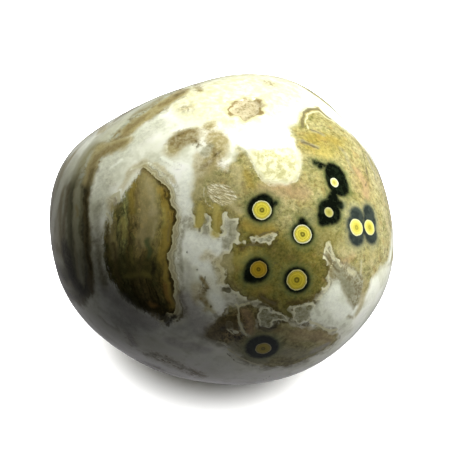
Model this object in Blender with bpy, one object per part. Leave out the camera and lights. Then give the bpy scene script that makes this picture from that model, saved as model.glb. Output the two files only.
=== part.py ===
"""A tumbled agate: one rounded stone, 34 x 33 x 28 mm, standing on a small worn flat.

The body starts as a sphere of triangles. Each vertex moves out along its own direction to
the stone's skin, which is a soft blend of one ellipsoid and the thirteen worn facets that
tumbling left on it. A few slow ripples keep the facets from looking machined. The lowest
part is worn flat, and the stone rests there on z = 0. The origin is the middle of the
stone's plan, at its foot. Lengths are metres, +Z is up, and X is the longest side.
"""

import math

import bmesh
import bpy
from mathutils import Vector

MM = 0.001

# The unworn pebble: half sizes of its ellipsoid, and how far its long side is turned from X.
HALF_LENGTH = 18.5 * MM
HALF_WIDTH = 17.7 * MM
HALF_HEIGHT = 14.5 * MM
LONG_SIDE_TURN = math.radians(-12.0)

# How high the pebble's centre stands over the table. It is less than HALF_HEIGHT, and the
# difference is what the resting flat has lost.
CENTRE_HEIGHT = 13.8 * MM

# A higher number gives crisper edges between the facets, and a lower one a rounder stone.
CRISPNESS = 9.0

# The worn facets: azimuth of the outward normal (degrees from +X, anticlockwise from above),
# its elevation, and its distance from the pebble's centre.
FACETS = (
    (275.0, 50.0, 16.4 * MM),  # broad upper front face
    (121.0, 36.0, 15.1 * MM),  # upper back left shoulder
    (251.0, -36.0, 16.9 * MM),  # lower front
    (180.0, 10.0, 18.9 * MM),  # left end
    (20.0, 30.0, 18.2 * MM),  # upper right shoulder
    (320.0, -20.0, 20.2 * MM),  # lower front right
    (8.0, -4.0, 18.4 * MM),  # right end
    (208.0, -22.0, 18.0 * MM),  # lower front left
    (72.0, -6.0, 17.4 * MM),  # back
    (265.0, -2.0, 17.6 * MM),  # front
    (80.0, -40.0, 17.2 * MM),  # lower back
    (335.0, -45.0, 18.0 * MM),  # under the right end
    (150.0, -25.0, 18.6 * MM),  # lower back left
)

# Slow ripples in the skin: direction of the wave, waves across the stone, phase, height.
RIPPLES = (
    ((0.8, 0.5, 0.3), 2.3, 0.4, 0.07 * MM),
    ((-0.4, 0.9, 0.2), 2.9, 1.9, 0.06 * MM),
    ((0.2, -0.5, 0.85), 3.4, 3.1, 0.05 * MM),
    ((-0.7, -0.3, 0.65), 4.6, 5.0, 0.035 * MM),
)

SPHERE_SUBDIVISIONS = 5

# Vertices this close to the resting flat are drawn onto it, so its rim has no slivers.
SNAP = 0.03 * MM

STONE_COLOUR = (0.50, 0.46, 0.31, 1.0)
STONE_ROUGHNESS = 0.16


def clear_scene():
    for obj in list(bpy.data.objects):
        bpy.data.objects.remove(obj)


def direction(azimuth_deg, elevation_deg):
    azimuth, elevation = math.radians(azimuth_deg), math.radians(elevation_deg)
    return Vector(
        (
            math.cos(azimuth) * math.cos(elevation),
            math.sin(azimuth) * math.cos(elevation),
            math.sin(elevation),
        )
    )


FACET_PLANES = [(direction(a, e), d) for a, e, d in FACETS]


def skin_distance(way):
    """From the pebble's centre to its skin along the unit vector way."""
    c, s = math.cos(LONG_SIDE_TURN), math.sin(LONG_SIDE_TURN)
    along, across = way.x * c + way.y * s, way.y * c - way.x * s
    total = math.sqrt(
        (along / HALF_LENGTH) ** 2
        + (across / HALF_WIDTH) ** 2
        + (way.z / HALF_HEIGHT) ** 2
    ) ** CRISPNESS
    for normal, distance in FACET_PLANES:
        total += (max(0.0, way.dot(normal)) / distance) ** CRISPNESS
    skin = total ** (-1.0 / CRISPNESS)
    for wave, count, phase, height in RIPPLES:
        skin += height * math.sin(count * math.pi * way.dot(Vector(wave)) + phase)
    return skin


def make_stone():
    bm = bmesh.new()
    bmesh.ops.create_icosphere(bm, subdivisions=SPHERE_SUBDIVISIONS, radius=1.0)
    centre = Vector((0.0, 0.0, CENTRE_HEIGHT))
    for vertex in bm.verts:
        way = vertex.co.normalized()
        vertex.co = centre + way * skin_distance(way)

    # The origin comes under the middle of the stone's plan.
    xs = [v.co.x for v in bm.verts]
    ys = [v.co.y for v in bm.verts]
    middle = Vector(((min(xs) + max(xs)) / 2, (min(ys) + max(ys)) / 2, 0.0))
    for vertex in bm.verts:
        vertex.co -= middle

    # The worn flat: what reaches below the table is ground away, and the cut is one face.
    bmesh.ops.bisect_plane(
        bm,
        geom=bm.verts[:] + bm.edges[:] + bm.faces[:],
        dist=SNAP,
        plane_co=(0.0, 0.0, 0.0),
        plane_no=(0.0, 0.0, 1.0),
        use_snap_center=True,
        clear_inner=True,
    )
    rim = [e for e in bm.edges if e.is_boundary]
    bmesh.ops.contextual_create(bm, geom=rim)
    bmesh.ops.recalc_face_normals(bm, faces=bm.faces)

    mesh = bpy.data.meshes.new("agate_stone")
    bm.to_mesh(mesh)
    bm.free()
    mesh.shade_smooth()
    mesh.set_sharp_from_angle(angle=math.radians(35.0))
    return mesh


def stone_material():
    material = bpy.data.materials.new("polished_agate")
    material.use_nodes = True
    shader = material.node_tree.nodes["Principled BSDF"]
    shader.inputs["Base Color"].default_value = STONE_COLOUR
    shader.inputs["Roughness"].default_value = STONE_ROUGHNESS
    shader.inputs["Metallic"].default_value = 0.0
    return material


def main():
    clear_scene()
    mesh = make_stone()
    mesh.materials.append(stone_material())
    stone = bpy.data.objects.new("agate_stone", mesh)
    bpy.context.scene.collection.objects.link(stone)


main()
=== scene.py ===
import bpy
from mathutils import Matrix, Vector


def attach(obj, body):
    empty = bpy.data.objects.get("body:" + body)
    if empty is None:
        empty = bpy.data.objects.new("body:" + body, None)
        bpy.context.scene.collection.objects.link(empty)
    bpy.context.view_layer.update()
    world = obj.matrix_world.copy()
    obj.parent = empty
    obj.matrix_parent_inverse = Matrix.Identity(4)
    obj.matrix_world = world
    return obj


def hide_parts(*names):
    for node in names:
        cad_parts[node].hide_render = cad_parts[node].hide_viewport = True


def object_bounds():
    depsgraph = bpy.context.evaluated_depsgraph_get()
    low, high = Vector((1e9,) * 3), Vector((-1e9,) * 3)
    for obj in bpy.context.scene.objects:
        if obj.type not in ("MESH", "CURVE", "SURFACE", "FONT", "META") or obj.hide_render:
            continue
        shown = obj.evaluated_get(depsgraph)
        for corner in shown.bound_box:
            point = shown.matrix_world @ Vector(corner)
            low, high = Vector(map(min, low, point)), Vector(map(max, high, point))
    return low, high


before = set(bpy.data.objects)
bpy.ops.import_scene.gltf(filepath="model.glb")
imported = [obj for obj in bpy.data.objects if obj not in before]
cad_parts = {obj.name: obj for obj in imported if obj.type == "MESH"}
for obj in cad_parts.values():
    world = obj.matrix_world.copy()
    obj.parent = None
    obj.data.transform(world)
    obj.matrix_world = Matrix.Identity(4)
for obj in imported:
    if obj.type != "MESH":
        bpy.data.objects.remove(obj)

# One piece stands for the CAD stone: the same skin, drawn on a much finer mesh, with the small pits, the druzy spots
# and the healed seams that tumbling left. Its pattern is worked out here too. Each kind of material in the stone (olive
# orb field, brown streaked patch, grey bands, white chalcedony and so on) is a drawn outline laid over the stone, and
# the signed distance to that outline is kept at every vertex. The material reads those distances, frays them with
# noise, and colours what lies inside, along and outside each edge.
"""The looks of a tumbled orbicular agate.

One piece stands for the CAD stone: the same skin, drawn on a much finer mesh, with the small
pits, the druzy spots and the healed seams that tumbling left. Its pattern is worked out here
too. Each kind of material in the stone (olive orb field, brown streaked patch, grey bands,
white chalcedony and so on) is a hand-drawn outline laid over the stone, and the signed
distance to that outline is kept at every vertex. The material reads those distances, frays
them with noise, and colours what lies inside, along and outside each edge.
"""

import math

import bpy
import numpy as np
from mathutils import Matrix, Vector

MM = 0.001
CAD_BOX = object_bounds()

# ------------------------------------------------------------------ the stone's skin, in mm
HALF = (18.5, 17.7, 14.5)
TURN = math.radians(-12.0)
CENTRE_HEIGHT = 13.8
CRISPNESS = 9.0
FACETS = (
    (275.0, 50.0, 16.4),
    (121.0, 36.0, 15.1),
    (251.0, -36.0, 16.9),
    (180.0, 10.0, 18.9),
    (20.0, 30.0, 18.2),
    (320.0, -20.0, 20.2),
    (8.0, -4.0, 18.4),
    (208.0, -22.0, 18.0),
    (72.0, -6.0, 17.4),
    (265.0, -2.0, 17.6),
    (80.0, -40.0, 17.2),
    (335.0, -45.0, 18.0),
    (150.0, -25.0, 18.6),
)
RIPPLES = (
    ((0.8, 0.5, 0.3), 2.3, 0.4, 0.07),
    ((-0.4, 0.9, 0.2), 2.9, 1.9, 0.06),
    ((0.2, -0.5, 0.85), 3.4, 3.1, 0.05),
    ((-0.7, -0.3, 0.65), 4.6, 5.0, 0.035),
)


def unit(azimuth, elevation):
    a, e = math.radians(azimuth), math.radians(elevation)
    return np.array((math.cos(a) * math.cos(e), math.sin(a) * math.cos(e), math.sin(e)))


def skin(ways):
    """Distance from the stone's centre to its skin, for unit vectors ways (n, 3)."""
    c, s = math.cos(TURN), math.sin(TURN)
    x = ways[:, 0] * c + ways[:, 1] * s
    y = ways[:, 1] * c - ways[:, 0] * s
    total = ((x / HALF[0]) ** 2 + (y / HALF[1]) ** 2 + (ways[:, 2] / HALF[2]) ** 2) ** (
        CRISPNESS / 2
    )
    for azimuth, elevation, distance in FACETS:
        total += (np.maximum(0.0, ways @ unit(azimuth, elevation)) / distance) ** CRISPNESS
    reach = total ** (-1.0 / CRISPNESS)
    for wave, count, phase, height in RIPPLES:
        reach += height * np.sin(count * math.pi * (ways @ np.array(wave)) + phase)
    return reach


# ------------------------------------------------------------- a fine ball of square faces
GRID = 128


def ball():
    """Directions and faces of a cube's lattice blown up to a sphere, every face outward."""
    n = GRID
    ids = -np.ones((n + 1, n + 1, n + 1), dtype=np.int64)
    surface = np.zeros((n + 1, n + 1, n + 1), dtype=bool)
    for axis in range(3):
        for end in (0, n):
            where = [slice(None)] * 3
            where[axis] = end
            surface[tuple(where)] = True
    lattice = np.argwhere(surface)
    ids[lattice[:, 0], lattice[:, 1], lattice[:, 2]] = np.arange(len(lattice))
    ways = np.tan((lattice / n - 0.5) * (math.pi / 2))
    ways /= np.linalg.norm(ways, axis=1)[:, None]
    faces = []
    i, j = np.meshgrid(np.arange(n), np.arange(n), indexing="ij")
    for axis in range(3):
        b, c = (axis + 1) % 3, (axis + 2) % 3
        for end in (0, n):
            corners = []
            for di, dj in ((0, 0), (1, 0), (1, 1), (0, 1)):
                where = [None] * 3
                where[axis] = np.full(i.size, end)
                where[b] = (i + di).ravel()
                where[c] = (j + dj).ravel()
                corners.append(ids[where[0], where[1], where[2]])
            quads = np.stack(corners, axis=1)
            faces.append(quads if end == n else quads[:, ::-1])
    return ways, np.concatenate(faces)


WAYS, FACES = ball()
REACH = skin(WAYS)
RAW = WAYS * REACH[:, None] + np.array((0.0, 0.0, CENTRE_HEIGHT))

# The stone's plan is centred on the CAD stone's box, and shrunk by a hair if it has to be.
low, high = (np.array(v) / MM for v in CAD_BOX)
plan = (RAW[:, :2].min(axis=0) + RAW[:, :2].max(axis=0)) / 2
SHIFT = np.array((*((low[:2] + high[:2]) / 2 - plan), 0.0))
CENTRE = np.array((0.0, 0.0, CENTRE_HEIGHT)) + SHIFT

# ----------------------------------------------------------------------- the line of sight
ELEVATION = math.radians(50.0)
DISTANCE = 180.0
SHEET = 45.8  # width in mm of the square sheet that fills the view, at the aim point
AIM = np.array((0.75, 0.0, 13.5)) + SHIFT
RIGHT = np.array((1.0, 0.0, 0.0))
UP = np.array((0.0, math.sin(ELEVATION), math.cos(ELEVATION)))
TOWARDS = np.array((0.0, -math.cos(ELEVATION), math.sin(ELEVATION)))


# ------------------------------------------------- marks laid over the stone, as outlines
def sheet(points):
    """Unit vectors from the stone's centre to marks on the layout sheet.

    The sheet is a 45.8 mm square held across the line of sight at the aim point. Marks on it
    are in tenths of a millimetre from its top left corner, and each is carried along its
    line of sight to the skin. A mark outside the stone's outline goes round the edge.
    """
    marks = np.asarray(points, dtype=float) / 10.0
    spots = (
        AIM
        + (marks[:, :1] - SHEET / 2) * RIGHT
        + (SHEET / 2 - marks[:, 1:]) * UP
    )
    eye = AIM + TOWARDS * DISTANCE
    rays = spots - eye
    rays /= np.linalg.norm(rays, axis=1)[:, None]
    depth = np.linspace(DISTANCE - 22.0, DISTANCE + 12.0, 341)
    path = eye + rays[:, None, :] * depth[None, :, None] - CENTRE
    far = np.linalg.norm(path, axis=2)
    ways = path / far[..., None]
    ratio = far / skin(ways.reshape(-1, 3)).reshape(far.shape)
    found = []
    for k in range(len(marks)):
        inside = np.nonzero(ratio[k] < 1.0)[0]
        if len(inside):
            found.append(ways[k, inside[0]])
            continue
        nearest = int(np.argmin(ratio[k]))
        rim = ways[k, nearest]
        beyond = rim - TOWARDS * (rim @ TOWARDS)
        beyond /= np.linalg.norm(beyond)
        angle = math.acos(np.clip(rim @ TOWARDS, -1, 1)) + (ratio[k, nearest] - 1.0) * 1.3
        found.append(TOWARDS * math.cos(angle) + beyond * math.sin(angle))
    return np.array(found)


def globe(points):
    """Unit vectors for marks given as azimuth and elevation, for the sides out of view."""
    return np.array([unit(a, e) for a, e in points])


def lump(points, scale, seed):
    """Smooth value noise, 0 to 1, at points in mm."""
    grid = points * scale + seed * 17.31
    cell = np.floor(grid).astype(np.int64)
    part = grid - cell
    part = part * part * (3 - 2 * part)
    total = np.zeros(len(points))
    for i in (0, 1):
        for j in (0, 1):
            for k in (0, 1):
                x, y, z = cell[:, 0] + i, cell[:, 1] + j, cell[:, 2] + k
                mixed = (x * 73856093) ^ (y * 19349663) ^ (z * 83492791) ^ (seed * 2654435)
                mixed = (mixed ^ (mixed >> 13)) * 1274126177
                value = ((mixed ^ (mixed >> 16)) & 65535) / 65535.0
                weight = (
                    (part[:, 0] if i else 1 - part[:, 0])
                    * (part[:, 1] if j else 1 - part[:, 1])
                    * (part[:, 2] if k else 1 - part[:, 2])
                )
                total += value * weight
    return total


def wandered(amount, scale, seed):
    """The vertices' directions, each moved a little by noise: amount in mm."""
    points = WAYS * TRUE_RADIUS
    moved = points.copy()
    for axis in range(3):
        coarse = lump(points, scale, seed + axis) - 0.5
        fine = lump(points, scale * 2.3, seed + 7 + axis) - 0.5
        moved[:, axis] += amount * (2.0 * coarse + 1.1 * fine)
    return moved / np.linalg.norm(moved, axis=1)[:, None]


TRUE_RADIUS = 16.6  # mm, the stone's usual radius, which turns angles into distances


def segment_angles(spots, a, b):
    """The angle from each unit vector in spots to the great-circle arc a-b."""
    normal = np.cross(a, b)
    length = np.linalg.norm(normal)
    to_a = np.arccos(np.clip(spots @ a, -1, 1))
    to_b = np.arccos(np.clip(spots @ b, -1, 1))
    ends = np.minimum(to_a, to_b)
    if length < 1e-9:
        return ends
    normal /= length
    lift = spots @ normal
    foot = spots - lift[:, None] * normal
    between = ((np.cross(a, foot) @ normal) > 0) & ((np.cross(foot, b) @ normal) > 0)
    return np.where(between, np.abs(np.arcsin(np.clip(lift, -1, 1))), ends)


def outline_distance(marks, closed=True, reach=9.0, ways=None):
    """Signed distance in mm at every vertex: positive inside a closed outline."""
    ways = EDGE_WAYS if ways is None else ways
    middle = marks.mean(axis=0)
    middle /= np.linalg.norm(middle)
    cap = np.arccos(np.clip(marks @ middle, -1, 1)).max() + reach / TRUE_RADIUS
    near = (ways @ middle) > math.cos(min(cap, math.pi))
    spots = ways[near]
    best = np.full(len(spots), 9.0)
    turning = np.zeros(len(spots))
    count = len(marks)
    for k in range(count if closed else count - 1):
        a, b = marks[k], marks[(k + 1) % count]
        best = np.minimum(best, segment_angles(spots, a, b))
        if closed:
            fa = a - (spots @ a)[:, None] * spots
            fb = b - (spots @ b)[:, None] * spots
            cross = np.einsum("ij,ij->i", np.cross(fa, fb), spots)
            turning += np.arctan2(cross, np.einsum("ij,ij->i", fa, fb))
    result = np.full(len(WAYS), -reach)
    inside = np.abs(turning) > math.pi if closed else np.zeros(len(spots), bool)
    result[near] = np.where(inside, best, -best) * TRUE_RADIUS
    return np.maximum(result, -reach)


def zone(*outlines):
    """The union of several outlines, as one signed distance."""
    return np.max([outline_distance(o) for o in outlines], axis=0)


def strokes(*lines):
    """Lines with a half width in mm each: positive inside the line."""
    return np.max(
        [outline_distance(marks, closed=False) + half for marks, half in lines], axis=0
    )


def blobs(*spots):
    """Round blobs: (unit vector, radius in mm)."""
    result = np.full(len(WAYS), -9.0)
    for way, radius in spots:
        away = np.arccos(np.clip(WAYS @ way, -1, 1)) * TRUE_RADIUS
        result = np.maximum(result, radius - away)
    return result


def blend_steps(distance, softness):
    """0 outside to 1 inside, over softness mm either side of the edge."""
    t = np.clip(distance / (2 * softness) + 0.5, 0, 1)
    return t * t * (3 - 2 * t)


EDGE_WAYS = wandered(0.12, 1.1, 3)
BRUSH_WAYS = wandered(0.26, 0.9, 31)


def brush(*marks):
    """Soft strokes of colour, laid over each other in order: a colour and an amount at every
    vertex. Each is (colour, half width, softness, strength, places, limit); the sizes are in
    tenths of a millimetre and the limit is None or how much each vertex may take."""
    colour = np.zeros((len(WAYS), 3))
    amount = np.zeros(len(WAYS))
    for name, half, soft, strength, places, limit in marks:
        if len(places) == 1:
            away = -np.arccos(np.clip(BRUSH_WAYS @ places[0], -1, 1)) * TRUE_RADIUS
        else:
            away = outline_distance(places, closed=False, reach=4.0, ways=BRUSH_WAYS)
        lay = blend_steps(away + half / 9.0, soft / 12.0) * min(0.97, strength * 1.3)
        if limit is not None:
            lay = lay * limit
        colour = colour * (1 - lay)[:, None] + np.array(PAINT[name]) * lay[:, None]
        amount = 1 - (1 - amount) * (1 - lay)
    return colour / np.maximum(amount, 1e-4)[:, None], amount


# ---------------------------------------------------------------------- where things are
def pattern():
    """Every attribute of the pattern, by name, one number per vertex."""
    made = {}

    # The tan and olive field that the orbs sit in.
    made["field"] = zone(
        sheet([(236, 146), (247, 150), (253, 160), (258, 171), (265, 180), (276, 183), (287, 184), (296, 178), (300, 166), (298, 150), (294, 140), (289, 128), (296, 122), (300, 112), (306, 108), (318, 107), (327, 116), (337, 124), (351, 134), (364, 148), (377, 168), (390, 192), (402, 215), (408, 240), (396, 258), (382, 266), (372, 278), (366, 294), (357, 296), (349, 280), (343, 270), (338, 264), (333, 252), (329, 244), (326, 249), (324, 256), (328, 262), (329, 272), (329, 282), (325, 290), (319, 297), (314, 302), (307, 304), (296, 305), (291, 309), (293, 320), (285, 316), (274, 310), (270, 306), (262, 305), (255, 300), (247, 300), (240, 296), (234, 290), (228, 285), (223, 280), (225, 271), (219, 264), (223, 256), (228, 250), (233, 243), (243, 243), (238, 238), (234, 229), (237, 220), (230, 219), (226, 214), (224, 226), (222, 235), (215, 238), (211, 231), (210, 216), (207, 214), (205, 226), (200, 232), (196, 226), (192, 212), (191, 195), (195, 180), (205, 173), (214, 168), (226, 170), (233, 160)]),
        globe([(352, -12), (8, -20), (24, -30), (42, -34), (58, -27), (70, -12), (76, 8), (70, 26), (56, 36), (44, 38), (34, 34), (26, 22), (12, 8), (356, 6)]),
        globe([(178, -22), (190, -18), (203, -23), (213, -33), (214, -46), (201, -55), (186, -52), (172, -44), (168, -32)]),
        globe([(98, 26), (108, 30), (118, 24), (121, 14), (113, 6), (102, 8), (95, 16)]),
    )
    # Where its edge is crisp, with a pale scalloped line.
    made["crisp"] = np.maximum(
        blend_steps(zone(sheet([(182, 206), (226, 202), (240, 212), (262, 222), (300, 240), (336, 234), (348, 290), (318, 318), (292, 334), (225, 308), (208, 270), (210, 252), (184, 250)])), 0.5),
        blend_steps(zone(globe([(0, -30), (60, -50), (90, -20), (85, 20), (60, 0), (10, -8)]), globe([(160, -10), (225, -10), (225, -65), (160, -65)]), globe([(90, 36), (128, 36), (128, 0), (90, 0)])), 0.8),
    )
    # Its olive heart.
    made["olive"] = blend_steps(
        zone(
            sheet([(237, 222), (262, 222), (285, 236), (316, 244), (326, 257), (328, 275), (323, 291), (308, 303), (294, 316), (275, 308), (250, 298), (233, 284), (226, 268), (231, 250), (240, 240)]),
            globe([(20, -18), (45, -28), (62, -18), (60, 0), (40, 2), (22, -6)]),
            globe([(183, -28), (196, -26), (206, -36), (202, -47), (188, -46), (177, -36)]),
            globe([(102, 22), (110, 25), (115, 18), (108, 11), (101, 14)]),
        ),
        1.3,
    )
    # Yellower, ochre parts of the field.
    made["ochre"] = blend_steps(
        zone(
            sheet([(238, 212), (262, 220), (284, 232), (262, 236), (244, 236)]),
            sheet([(298, 134), (325, 134), (345, 140), (342, 152), (322, 158), (300, 150)]),
            sheet([(194, 200), (228, 206), (226, 240), (196, 236)]),
            sheet([(236, 250), (252, 248), (256, 262), (240, 268)]),
            sheet([(244, 168), (258, 178), (256, 196), (243, 190)]),
            globe([(50, 12), (66, 14), (66, 28), (52, 28)]),
        ),
        1.0,
    )

    # The big brown streaked patch, and its twin on the hidden side.
    patch_marks = [(143, 168), (150, 173), (158, 180), (166, 186), (170, 191), (170, 198), (171, 204), (177, 210), (176, 222), (173, 232), (172, 243), (170, 250), (168, 259), (170, 268), (172, 280), (175, 292), (177, 305), (175, 313), (168, 312), (162, 319), (152, 317), (142, 312), (132, 306), (123, 299), (114, 288), (107, 275), (103, 261), (102, 243), (103, 226), (105, 215), (109, 219), (112, 212), (112, 203), (118, 203), (122, 198), (127, 190), (132, 182), (138, 173)]
    hidden_patch = globe([(126, 12), (136, 15), (147, 12), (155, 4), (158, -8), (154, -20), (146, -29), (135, -32), (126, -26), (120, -15), (119, -2), (121, 7)])
    made["patch"] = zone(sheet(patch_marks), hidden_patch)
    made["patch_edge"] = zone(
        sheet([(141, 163), (150, 165), (159, 172), (168, 180), (175, 189), (177, 198), (183, 207), (182, 220), (180, 235), (178, 246), (176, 258), (177, 268), (178, 280), (181, 292), (182, 305), (184, 315), (178, 320), (168, 321), (160, 322), (150, 316), (140, 300), (130, 260), (128, 220), (134, 180)]),
        globe([(124, 15), (136, 18), (149, 15), (158, 6), (161, -8), (157, -22), (147, -33), (135, -35), (126, -20), (124, 0)]),
    )
    # How far across the patch a vertex is, 0 at its left guide and 1 at its right one.
    guides = [
        (
            sheet([(112, 165), (106, 200), (103, 230), (104, 262), (110, 290), (124, 314)]),
            sheet([(166, 160), (174, 190), (177, 210), (172, 243), (169, 259), (172, 280), (177, 312)]),
        ),
        (
            globe([(119, 16), (118, -2), (121, -20), (128, -34)]),
            globe([(159, 16), (161, -6), (157, -22), (148, -36)]),
        ),
    ]
    spans = []
    for left, right in guides:
        to_left = -outline_distance(left, closed=False)
        to_right = -outline_distance(right, closed=False)
        spans.append(to_left / np.maximum(to_left + to_right, 1e-6))
    hidden_side = WAYS @ hidden_patch.mean(axis=0) > WAYS @ sheet(patch_marks).mean(axis=0)
    made["grainline"] = np.where(hidden_side, spans[1], spans[0])
    made["patch_dark"] = blend_steps(
        zone(sheet([(100, 262), (130, 250), (172, 254), (180, 325), (150, 320), (120, 300)]), globe([(120, -18), (155, -18), (150, -36), (125, -36)])),
        2.4,
    )

    # The banded grey and brown rind at the left end, which runs on round the back.
    made["rind"] = zone(
        sheet([(189, 82), (184, 96), (173, 103), (164, 112), (156, 118), (146, 121), (138, 127), (133, 134), (127, 133), (129, 143), (124, 150), (116, 154), (108, 156), (103, 160), (99, 168), (96, 176), (92, 186), (91, 200), (91, 215), (92, 240), (94, 262), (97, 280), (94, 296), (84, 306), (60, 300), (36, 290), (20, 230), (24, 160), (60, 100), (120, 60), (160, 62)]),
        globe([(170, 30), (185, 26), (196, 10), (196, -12), (186, -16), (172, -8), (163, 8), (160, 22)]),
        globe([(70, -38), (95, -30), (112, -44), (110, -60), (84, -62), (66, -52)]),
    )
    made["rind_dark"] = blend_steps(
        zone(sheet([(30, 190), (70, 178), (100, 176), (100, 300), (30, 300)]), globe([(165, 5), (200, 5), (200, -20), (165, -20)])), 1.6
    )

    # Brown clouded spots in the white.
    made["smudge"] = zone(
        sheet([(168, 147), (170, 139), (176, 133), (184, 129), (192, 129), (196, 135), (193, 141), (187, 142), (181, 147), (174, 150)]),
        sheet([(204, 124), (213, 122), (215, 129), (209, 133), (203, 131)]),
        sheet([(212, 134), (219, 134), (226, 136), (225, 144), (221, 152), (223, 158), (218, 163), (212, 168), (206, 172), (201, 170), (203, 162), (207, 157), (205, 149), (200, 146), (204, 140)]),
        sheet([(190, 139), (199, 140), (203, 146), (196, 148)]),
        sheet([(197, 283), (203, 279), (209, 284), (208, 292), (204, 299), (198, 301), (200, 293)]),
        sheet([(202, 304), (209, 302), (214, 308), (206, 312)]),
        sheet([(205, 256), (218, 250), (224, 262), (213, 268)]),
        sheet([(192, 84), (201, 84), (203, 91), (195, 92)]),
        sheet([(180, 108), (190, 106), (194, 111), (183, 113)]),
        sheet([(262, 79), (272, 81), (280, 87), (272, 87), (264, 84)]),
        sheet([(287, 126), (296, 128), (297, 137), (291, 136)]),
        sheet([(104, 176), (112, 176), (113, 184), (106, 187)]),
        sheet([(104, 198), (117, 196), (118, 208), (108, 212)]),
        sheet([(142, 352), (155, 352), (166, 355), (179, 361), (191, 368), (203, 373), (206, 378), (196, 378), (182, 371), (167, 365), (154, 360)]),
        sheet([(126, 333), (133, 333), (136, 343), (130, 345)]),
        globe([(150, 28), (160, 30), (165, 38), (156, 42), (147, 36)]),
        globe([(88, 14), (92, 4), (98, -8), (93, -14), (86, -4), (83, 8)]),
        globe([(100, -6), (108, -10), (106, -18), (98, -16)]),
        globe([(225, -48), (240, -52), (262, -50), (258, -56), (238, -60), (222, -56)]),
        globe([(285, -38), (305, -36), (318, -42), (305, -47), (288, -46)]),
        globe([(328, -24), (334, -21), (341, -23), (349, -21), (353, -27), (346, -31), (338, -29), (331, -30)]),
        globe([(165, -58), (190, -66), (230, -70), (210, -76), (170, -70)]),
        globe([(20, -52), (50, -56), (60, -64), (30, -64)]),
    )
    # Small dark specks standing alone in the white.
    made["spots"] = blobs(
        *(
            (sheet([(x, y)])[0], r / 10.0)
            for x, y, r in [(186, 221, 1.0), (187, 252, 1.0), (197, 270, 1.2), (164, 318, 2.2), (168, 325, 2.0), (228, 290, 3.0), (224, 289, 2.2), (197, 147, 1.4), (193, 145, 1.0), (211, 306, 1.2), (222, 330, 2.2), (350, 318, 1.2)]
        ),
        *(
            (unit(a, e), r)
            for a, e, r in [(100, -3, 0.2), (112, 2, 0.15), (162, 20, 0.2), (88, -22, 0.22), (215, -12, 0.2), (232, -40, 0.2), (300, -44, 0.22), (340, -12, 0.2), (20, -45, 0.25), (170, -62, 0.25), (110, -50, 0.2)]
        ),
    )

    # A yellow stain over the top of the stone.
    made["stain"] = np.maximum(
        blend_steps(zone(sheet([(168, 108), (178, 84), (205, 66), (262, 62), (300, 82), (306, 104), (290, 116), (262, 124), (240, 134), (214, 128), (196, 122), (178, 120)])), 1.6),
        blend_steps(zone(globe([(100, 40), (120, 34), (112, 2), (92, 0), (84, 30)]), globe([(215, -45), (245, -62), (200, -75)])), 3.0) * 0.8,
    )
    # The yellow-white speckled ground above the field.
    made["speckled"] = zone(
        sheet([(250, 150), (262, 146), (275, 143), (288, 143), (296, 152), (300, 166), (296, 179), (286, 184), (275, 183), (264, 180), (257, 170), (252, 160)]),
        globe([(76, 30), (90, 28), (94, 12), (84, 2), (74, 10)]),
    )
    # The shallow pit with its druzy floor, and a second one behind.
    made["pit"] = zone(
        sheet([(227, 109), (231, 103), (238, 100), (247, 98), (256, 98), (262, 101), (264, 107), (260, 113), (253, 117), (244, 121), (239, 117), (232, 115)]),
        globe([(180, -2), (185, 1), (190, -2), (189, -8), (183, -10), (179, -7)]),
    )
    # Sparkling druzy ground with drawn scratches.
    made["druzy"] = zone(
        sheet([(207, 185), (215, 181), (226, 184), (234, 190), (239, 199), (232, 206), (222, 207), (212, 203), (207, 195)]),
        globe([(64, -2), (70, 2), (74, -5), (70, -12), (64, -10)]),
    )
    # The tan and brown lobe at the foot of the front, under the field.
    made["lobe"] = zone(
        sheet([(247, 303), (255, 304), (260, 309), (257, 317), (259, 326), (266, 330), (274, 326), (280, 321), (290, 321), (300, 326), (312, 327), (322, 327), (330, 332), (337, 334), (338, 339), (331, 346), (318, 353), (303, 361), (286, 366), (266, 367), (250, 362), (238, 352), (228, 345), (216, 341), (205, 337), (206, 328), (215, 321), (224, 316), (229, 306), (238, 304)]),
        globe([(235, -18), (246, -16), (250, -28), (240, -34), (230, -28)]),
        globe([(330, -40), (345, -42), (2, -48), (355, -60), (332, -62), (318, -52)]),
        globe([(140, -42), (152, -44), (160, -54), (148, -62), (132, -58), (130, -48)]),
    )
    made["lobe_brown"] = blend_steps(
        zone(sheet([(206, 336), (214, 320), (232, 310), (246, 303), (256, 312), (257, 326), (250, 340), (228, 344)])), 0.9
    )
    # Grey-white shreds inside the field and between the lobes.
    made["shred"] = zone(
        sheet([(261, 306), (268, 308), (274, 311), (284, 316), (291, 321), (280, 320), (274, 323), (270, 327), (263, 328), (258, 321), (257, 315)]),
        sheet([(291, 309), (297, 306), (308, 305), (314, 305), (313, 314), (306, 322), (299, 323), (293, 318)]),
        sheet([(250, 237), (258, 236), (266, 236), (271, 234), (276, 235), (275, 240), (268, 243), (259, 241), (252, 241)]),
        sheet([(226, 322), (231, 318), (233, 326), (237, 333), (231, 333), (227, 329)]),
        globe([(30, -32), (40, -33), (44, -38), (34, -38)]),
        globe([(196, -52), (204, -50), (207, -56), (199, -58)]),
    )
    # White windows in the lower right.
    made["window"] = zone(
        sheet([(313, 307), (319, 299), (326, 291), (331, 284), (336, 279), (341, 281), (342, 291), (347, 301), (351, 312), (353, 322), (345, 331), (336, 328), (323, 323), (311, 322), (309, 315)]),
    )
    # The grey-tan fuzzy band right of it.
    made["fuzzy"] = zone(
        sheet([(325, 249), (329, 244), (333, 252), (338, 262), (346, 263), (354, 268), (362, 272), (363, 286), (360, 301), (353, 311), (347, 301), (342, 289), (337, 280), (331, 278), (328, 263)]),
        globe([(335, -9), (341, -6), (350, -8), (357, -12), (353, -17), (344, -15), (338, -17)]),
        globe([(62, -30), (76, -22), (84, -10), (90, -16), (80, -32), (66, -40)]),
    )
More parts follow.
